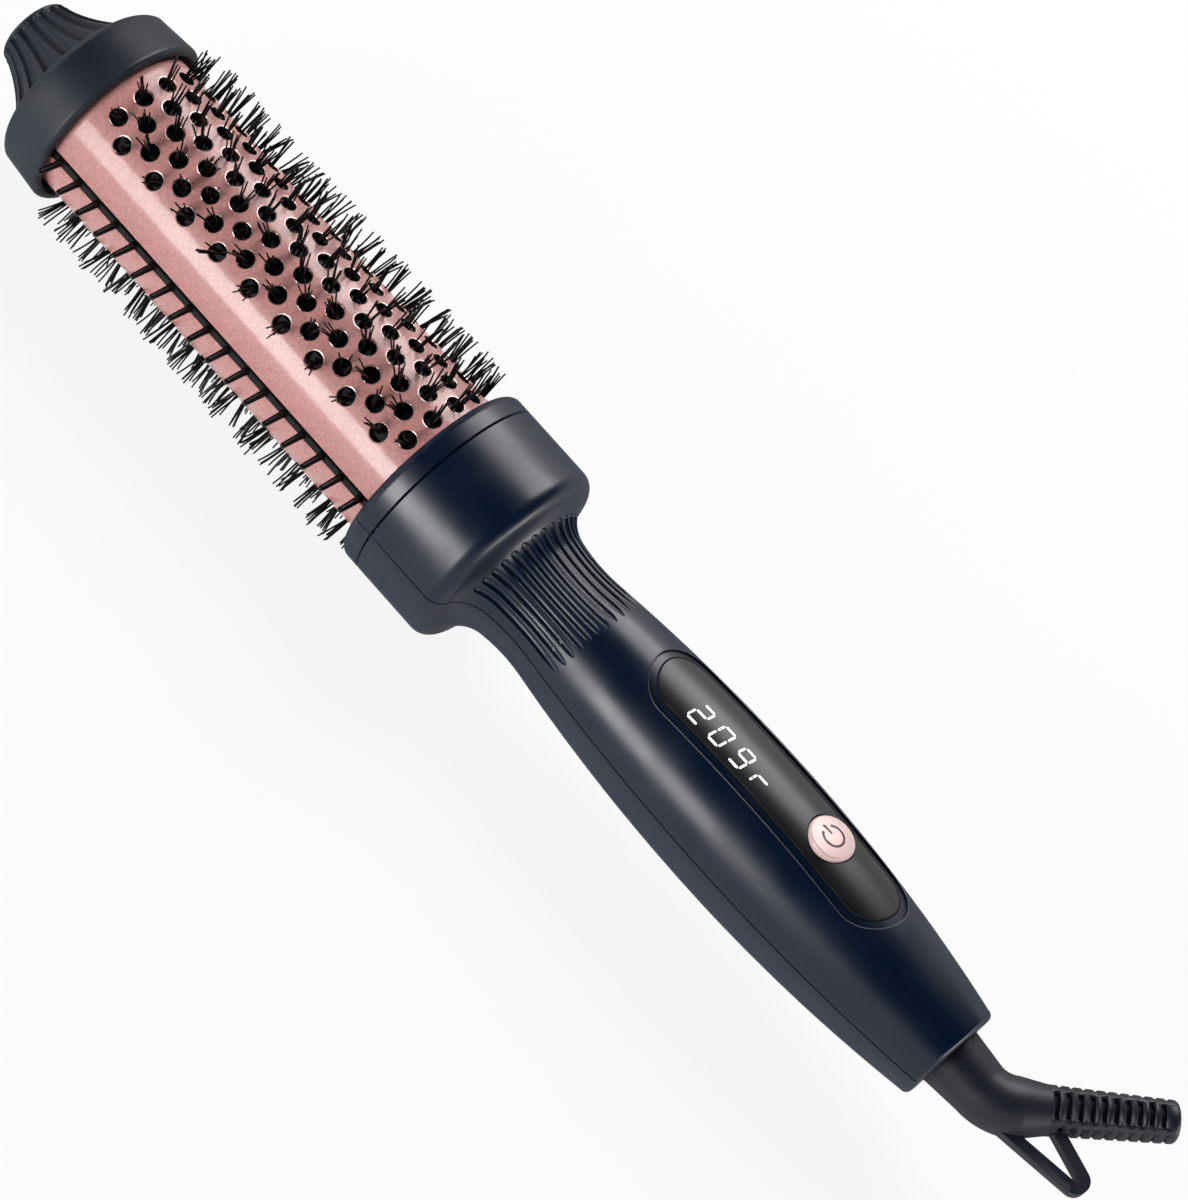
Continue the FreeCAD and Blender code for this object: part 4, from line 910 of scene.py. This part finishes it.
class BRUSH_OT_shells(bpy.types.Operator):
    """Handle shells with a dark strip of painted shade in their seam, and the cool tip"""
    bl_idname = "brush.shells"
    bl_label = "Shells and cap"

    def execute(self, context):
        handle = context.scene.brush.handle
        upper = smooth_copy("upper_shell", "upper_handle", "brush", "shell", "shell", handle.crease)
        exact_normals(upper.data, (0.0, handle.ledge_sink), fluted=True)
        lower = smooth_copy("lower_shell", "lower_handle", "brush", "shell", "shell", handle.crease)
        exact_normals(lower.data, (0.0,))
        # Dark strip inside the seam: painted shade, so the seam reads dark and the backdrop doesn't show
        # through.
        strip = new_object("seam_strip", *seam_shape(handle), "dark")
        face_out(strip.data)
        set_creases(strip.data, handle.crease)
        place(strip, "brush", "shell")
        smooth_copy("end_cap", "cool_tip", "brush", "shell", "cap", handle.crease)
        return {"FINISHED"}


class BRUSH_OT_cord_swivel(bpy.types.Operator):
    """Swivel elbow with its hanging loop, and the slotted cord boot"""
    bl_idname = "brush.cord_swivel"
    bl_label = "Cord swivel"

    def execute(self, context):
        crease = context.scene.brush.handle.crease
        smooth_copy("swivel_elbow", "rubber_elbow", "cord_swivel", "rubber", "rubber", crease)
        smooth_copy("cord_boot", "slotted_boot", "cord_swivel", "rubber", "rubber", crease)
        return {"FINISHED"}


# Display and button
# Ends of each bar of a digit, in shares of its width and height
SEGMENTS = {"a": ((0.0, 1.0), (1.0, 1.0)), "b": ((1.0, 1.0), (1.0, 0.5)), "c": ((1.0, 0.5), (1.0, 0.0)),
            "d": ((0.0, 0.0), (1.0, 0.0)), "e": ((0.0, 0.5), (0.0, 0.0)), "f": ((0.0, 1.0), (0.0, 0.5)),
            "g": ((0.0, 0.5), (1.0, 0.5))}
READING = ("abged", "abcdef", "abcfgd", "eg")
BAR_GAP = 0.3  # distance of a bar's point from its end, in bar widths
BAR_SINK, BAR_LIFT = -0.1 * MM, 0.03 * MM
PANEL_CREASE = math.radians(40)
LINE_RUN, LINE_TURN, LINE_SIDES = 64, 28, 6  # points along a side and round an end, sides of the tube
OVERHEAD = 0.1  # height over the axis from which a solid's top is looked for
SYMBOL_OPENING = math.radians(38)
SYMBOL_BAR = (0.35, 1.2)  # ends of the symbol's bar, in ring radii
SYMBOL_DARK = 0.4  # half width of the dark engraving, in groove widths
GROOVE_FALL = 2.0  # how steeply the groove falls to its flat bottom
BUTTON_SIDES, BUTTON_RINGS = 180, 64
BUTTON_FOOT = 2.0 * MM
BUTTON_CREASE = math.radians(60)


def bar_outline(a, b, width):
    """Six-sided bar between two points, pointed at both ends and short of them."""
    along = (b - a).normalized()
    side = Vector((-along.y, along.x)) * (0.5 * width)
    gap, inset = along * (BAR_GAP * width), along * (0.5 * width)
    start, end = a + gap, b - gap
    return [start, start + inset - side, end - inset - side, end, end - inset + side, start + inset + side]


def drop_on(node):
    """Function that gives the height of a solid's top over a place."""
    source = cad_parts[node].data
    tree = BVHTree.FromPolygons([v.co for v in source.vertices], [p.vertices for p in source.polygons])

    def height(x, y):
        return tree.ray_cast(Vector((x, y, OVERHEAD)), Vector((0, 0, -1)))[0].z
    return height


def round_outline(x0, x1, half):
    """Places along a long round-ended outline."""
    run = x1 - x0 - 2 * half
    places = [Vector((x0 + half + run * k / LINE_RUN, -half)) for k in range(LINE_RUN)]
    for k in range(LINE_TURN):
        turn = math.pi * k / LINE_TURN
        places.append(Vector((x1 - half + half * math.sin(turn), -half * math.cos(turn))))
    return places + [Vector((x0 + x1 - p.x, -p.y)) for p in places]


def ring_tube(spots, radius):
    """Closed thin tube through spots that go round."""
    verts = []
    for k, spot in enumerate(spots):
        along = (spots[(k + 1) % len(spots)] - spots[k - 1]).normalized()
        side = along.cross(Vector((0, spot.y, spot.z)).normalized()).normalized()
        out = side.cross(along)
        verts += [spot + side * u + out * v for u, v in circle(radius, LINE_SIDES)]
    return verts, ring_faces(LINE_SIDES, len(spots), closed=True)


class BRUSH_OT_display(bpy.types.Operator):
    """Display panel, the fine lines round it (a pale lip with a painted highlight and a dark line of painted
    shade in the gap) and the lit digits
    """
    bl_idname = "brush.display"
    bl_label = "Display"

    def execute(self, context):
        handle = context.scene.brush.handle
        panel = smooth_copy("display_panel", "smoked_panel", "brush", "panel", "panel", PANEL_CREASE)
        exact_normals(panel.data, (handle.panel_sink,))
        # The lip is paler than the shells: a painted highlight on its round edge.
        self.line("ledge_lip", handle.ledge, 0.0, handle.lip, "shell", "edge")
        # Dark tube sunk in the panel's gap: painted shade.
        self.line("panel_gap", handle.gap_line, handle.ledge_sink, handle.gap_line, "panel", "dark")
        self.digits(context.scene.brush.display)
        return {"FINISHED"}

    def line(self, name, margin, sink, radius, slot, key):
        """Thin round line on the handle's form, or sunk below it, a margin outside the panel's outline."""
        half = 0.5 * (PANEL_HIGH.y - PANEL_LOW.y) + margin
        spots = []
        for p in round_outline(PANEL_LOW.x - margin, PANEL_HIGH.x + margin, half):
            r = handle_outline(p.x)[0] - sink
            spots.append(Vector((p.x, p.y, math.sqrt(r ** 2 - p.y ** 2))))
        line = new_object(name, *ring_tube(spots, radius), key)
        face_out(line.data)
        set_creases(line.data, math.pi)
        place(line, "brush", slot)

    def digits(self, display):
        """Lit bars of the reading, just proud of the panel."""
        height = drop_on("display_panel")
        wide, tall = display.digit_width, display.digit_height
        verts, faces = [], []
        for k, lit in enumerate(READING):
            origin = Vector((PANEL_LOW.x + display.first_digit + k * display.digit_step,
                             display.digit_side - 0.5 * tall))
            for name in lit:
                a, b = (Vector((u * wide + v * tall * display.slant, v * tall)) for u, v in SEGMENTS[name])
                ring = [origin + p for p in bar_outline(a, b, display.bar)]
                low, high = ([(p.x, p.y, height(p.x, p.y) + level) for p in ring]
                             for level in (BAR_SINK, BAR_LIFT))
                bar = prism(low, high, len(verts))
                verts += bar[0]
                faces += bar[1]
        place(new_object("lit_digits", verts, faces, "lit"), "brush", "panel")


def symbol_distance(x, y, display):
    """Distance from the middle of the power symbol's groove: an open ring and a bar in its gap."""
    if abs(math.atan2(x, y)) > SYMBOL_OPENING:
        ring = abs(math.hypot(x, y) - display.symbol_radius)
    else:
        end = Vector((math.sin(SYMBOL_OPENING), math.cos(SYMBOL_OPENING))) * display.symbol_radius
        ring = (Vector((abs(x), y)) - end).length
    low, high = (part * display.symbol_radius for part in SYMBOL_BAR)
    return min(ring, math.hypot(x, y - min(max(y, low), high)))


class BRUSH_OT_button(bpy.types.Operator):
    """Power button with its engraved symbol"""
    bl_idname = "brush.button"
    bl_label = "Power button"

    def execute(self, context):
        display = context.scene.brush.display
        middle = 0.5 * (BUTTON_LOW + BUTTON_HIGH)
        height = drop_on("power_button")
        sides, rings = BUTTON_SIDES, BUTTON_RINGS
        verts = []
        for ring in range(rings, -1, -1):
            for x, y in circle(display.button_radius * ring / rings, sides if ring else 1):
                away = symbol_distance(y, -x, display) / (0.5 * display.symbol_width)
                groove = display.symbol_depth * min(1.0, GROOVE_FALL * max(0.0, 1 - away ** 2))
                x, y = middle.x + x, middle.y + y
                verts.append((x, y, height(x, y) - groove))
        tip, foot, last = len(verts) - 1, len(verts), (rings - 1) * sides
        verts += [(x, y, BUTTON_LOW.z + BUTTON_FOOT) for x, y, _ in verts[:sides]]
        faces = ring_faces(sides, rings)
        for k in range(sides):
            after = (k + 1) % sides
            faces += [(last + k, last + after, tip), (k, foot + k, foot + after, after)]
        faces.append(tuple(foot + sides - 1 - k for k in range(sides)))
        button = new_object("engraved_button", verts, faces, "button", "symbol")
        for face in button.data.polygons:
            x, y = face.center.x - middle.x, face.center.y - middle.y
            if symbol_distance(y, -x, display) < SYMBOL_DARK * display.symbol_width and face.normal.z > 0:
                face.material_index = 1
        set_creases(button.data, BUTTON_CREASE)
        place(button, "power_button", "button_metal", "power_button")
        return {"FINISHED"}


INNER_FINISHES = {
    "steel": ("shell_screws", "cap_screws", "board_screws"),
    "dark": ("top_bristle_carrier", "bottom_bristle_carrier", "front_hub", "rear_hub", "tact_switch",
             "contact_carrier", "display_module"),
    "comb": ("swivel_bushing",),
    "heat": ("upper_heat_spreader", "lower_heat_spreader", "thermal_fuse"),
    "ceramic": ("ptc_heater", "temperature_sensor"),
    "film": ("heater_insulation",),
    "lead": ("heater_leads", "power_leads"),
    "board": ("main_board",),
    "brass": ("live_contact", "neutral_contact", "live_slip_ring", "neutral_slip_ring"),
}


class BRUSH_OT_inner_pieces(bpy.types.Operator):
    """Finishes of the heater, board, hubs, contacts and screws"""
    bl_idname = "brush.inner_pieces"
    bl_label = "Inner pieces"

    def execute(self, context):
        for key, names in INNER_FINISHES.items():
            for name in names:
                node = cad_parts[name]
                if not node.material_slots:
                    node.data.materials.append(paint(key))
                for slot in node.material_slots:
                    slot.material = paint(key)
        return {"FINISHED"}


# Stage
CAMERA_PLACE = Vector((301.2163, -569.0949, 583.8508)) * MM
CAMERA_RIGHT = Vector((0.6593431, 0.6025767, 0.4496309))
CAMERA_DOWN = Vector((0.7349666, -0.3905833, -0.5543183))
CAMERA_AWAY = Vector((-0.1584010, 0.6959497, -0.7004022))
CAMERA_SENSOR, CAMERA_LENS = 36.0, 121.888
CAMERA_CLIP = (0.05, 50.0)
# Soft lights in metres: name, place, size and the setting with its power
SOFT_BOXES = (
    ("front_box", (-0.08, -0.93, 0.17), (0.42, 0.38), "key_power"),
    ("back_box", (-0.02, 0.57, 0.76), (0.56, 0.64), "back_power"),
    ("tail_box", (1.2, 0.15, 0.13), (1.0, 0.14), "tail_power"),
)
# Rings of the floor and its backdrop in metres: radius and height
BACKDROP = ((2.4, 0.0), (2.7, 0.04), (2.95, 0.14), (3.15, 0.32), (3.28, 0.6), (3.33, 0.95), (3.35, 1.35))
BACKDROP_SIDES = 64
FLOOR_GAP = 0.2 * MM
FLOOR_ROUGHNESS = 0.9
FLOOR_WHITE = 0.88  # share of plain white where the floor is seen or mirrored; the rest keeps the shadow
WHITE = (1.0, 1.0, 1.0, 1.0)
END_ON = 0.9  # share of a light's direction along X from which it counts as end-on


class BRUSH_OT_stage(bpy.types.Operator):
    """Pale floor, soft lights, even surround and the camera"""
    bl_idname = "brush.stage"
    bl_label = "Stage"

    def execute(self, context):
        stage = context.scene.brush.stage
        self.floor(stage)
        self.world(context, stage)
        for name, spot, size, key in SOFT_BOXES:
            self.soft_box(name, Vector(spot), size, getattr(stage, key))
        self.camera(context)
        context.scene.view_settings.view_transform = "Standard"
        return {"FINISHED"}

    def floor(self, stage):
        """Round floor that turns up into a low backdrop, so that a level view ends on it."""
        low = CAD_BOX[0].z - FLOOR_GAP
        verts = [(x, y, low + rise) for r, rise in BACKDROP for x, y in circle(r, BACKDROP_SIDES)]
        faces = [tuple(range(BACKDROP_SIDES)), *ring_faces(BACKDROP_SIDES, len(BACKDROP), flip=True)]
        floor = new_object("floor", verts, faces)
        set_creases(floor.data, math.pi)
        mat = bpy.data.materials.new("Pale floor")
        mat.use_nodes = True
        tree = mat.node_tree
        shader = tree.nodes["Principled BSDF"]
        fill(tree, shader, {
            "Base Color": (*stage.floor, 1.0), "Roughness": FLOOR_ROUGHNESS, "Specular IOR Level": 0.0})
        glow = add(tree, "ShaderNodeEmission", {"Color": WHITE})
        path = add(tree, "ShaderNodeLightPath").outputs
        seen = math_node(tree, "MAXIMUM", path["Is Camera Ray"], path["Is Glossy Ray"])
        seen = math_node(tree, "MAXIMUM", seen, path["Is Transmission Ray"])
        white = span(tree, seen, 0.0, 1.0, 0.0, FLOOR_WHITE)
        mix = add(tree, "ShaderNodeMixShader", {0: white, 1: shader, 2: glow})
        fill(tree, tree.nodes["Material Output"], {"Surface": mix})
        floor.data.materials.append(mat)

    def world(self, context, stage):
        world = bpy.data.worlds.new("Even surround")
        context.scene.world = world
        world.use_nodes = True
        tree = world.node_tree
        fill(tree, tree.nodes["Background"], {"Color": WHITE, "Strength": stage.world})

    def soft_box(self, name, spot, size, watts):
        """Area light that faces the brush's middle."""
        data = bpy.data.lights.new(name, "AREA")
        data.shape = "RECTANGLE"
        data.size, data.size_y = size
        data.energy = watts
        away = (spot - 0.5 * (CAD_BOX[0] + CAD_BOX[1])).normalized()
        across = Vector((1, 0, 0)) if abs(away.x) < END_ON else Vector((0, 1, 0))
        up = away.cross(across).normalized()
        turn = Matrix((up.cross(away), up, away)).transposed().to_4x4()
        linked(name, data).matrix_world = Matrix.Translation(spot) @ turn

    def camera(self, context):
        data = bpy.data.cameras.new("camera")
        data.sensor_width, data.lens = CAMERA_SENSOR, CAMERA_LENS
        data.clip_start, data.clip_end = CAMERA_CLIP
        camera = linked("camera", data)
        axes = Matrix((CAMERA_RIGHT, -CAMERA_DOWN, -CAMERA_AWAY)).transposed().to_4x4()
        camera.matrix_world = Matrix.Translation(CAMERA_PLACE) @ axes
        context.scene.camera = camera


PIECES = (BRUSH_OT_shells, BRUSH_OT_barrel, BRUSH_OT_bristles, BRUSH_OT_combs, BRUSH_OT_display,
          BRUSH_OT_button, BRUSH_OT_cord_swivel, BRUSH_OT_inner_pieces, BRUSH_OT_stage)


class BRUSH_PT_pieces(bpy.types.Panel):
    """Sidebar list of the brush's pieces"""
    bl_idname = "BRUSH_PT_pieces"
    bl_label = "Heated styling brush"
    bl_space_type = "VIEW_3D"
    bl_region_type = "UI"
    bl_category = "Brush"

    def draw(self, context):
        for piece in PIECES:
            self.layout.operator(piece.bl_idname)
        brush = context.scene.brush
        for group in (brush.barrel, brush.bristles, brush.combs, brush.handle, brush.display, brush.stage):
            box = self.layout.box()
            for key in group.__annotations__:
                box.prop(group, key)


CLASSES = (BarrelSettings, BristleSettings, CombSettings, HandleSettings, DisplaySettings, StageSettings,
           BrushSettings, *PIECES, BRUSH_PT_pieces)


def register():
    for cls in CLASSES:
        bpy.utils.register_class(cls)
    bpy.types.Scene.brush = PointerProperty(type=BrushSettings)


def unregister():
    del bpy.types.Scene.brush
    for cls in reversed(CLASSES):
        bpy.utils.unregister_class(cls)


def main():
    register()
    bpy.ops.brush.shells()
    bpy.ops.brush.barrel()
    bpy.ops.brush.bristles()
    bpy.ops.brush.combs()
    bpy.ops.brush.display()
    bpy.ops.brush.button()
    bpy.ops.brush.cord_swivel()
    bpy.ops.brush.inner_pieces()
    bpy.ops.brush.stage()


if __name__ == "__main__":
    main()
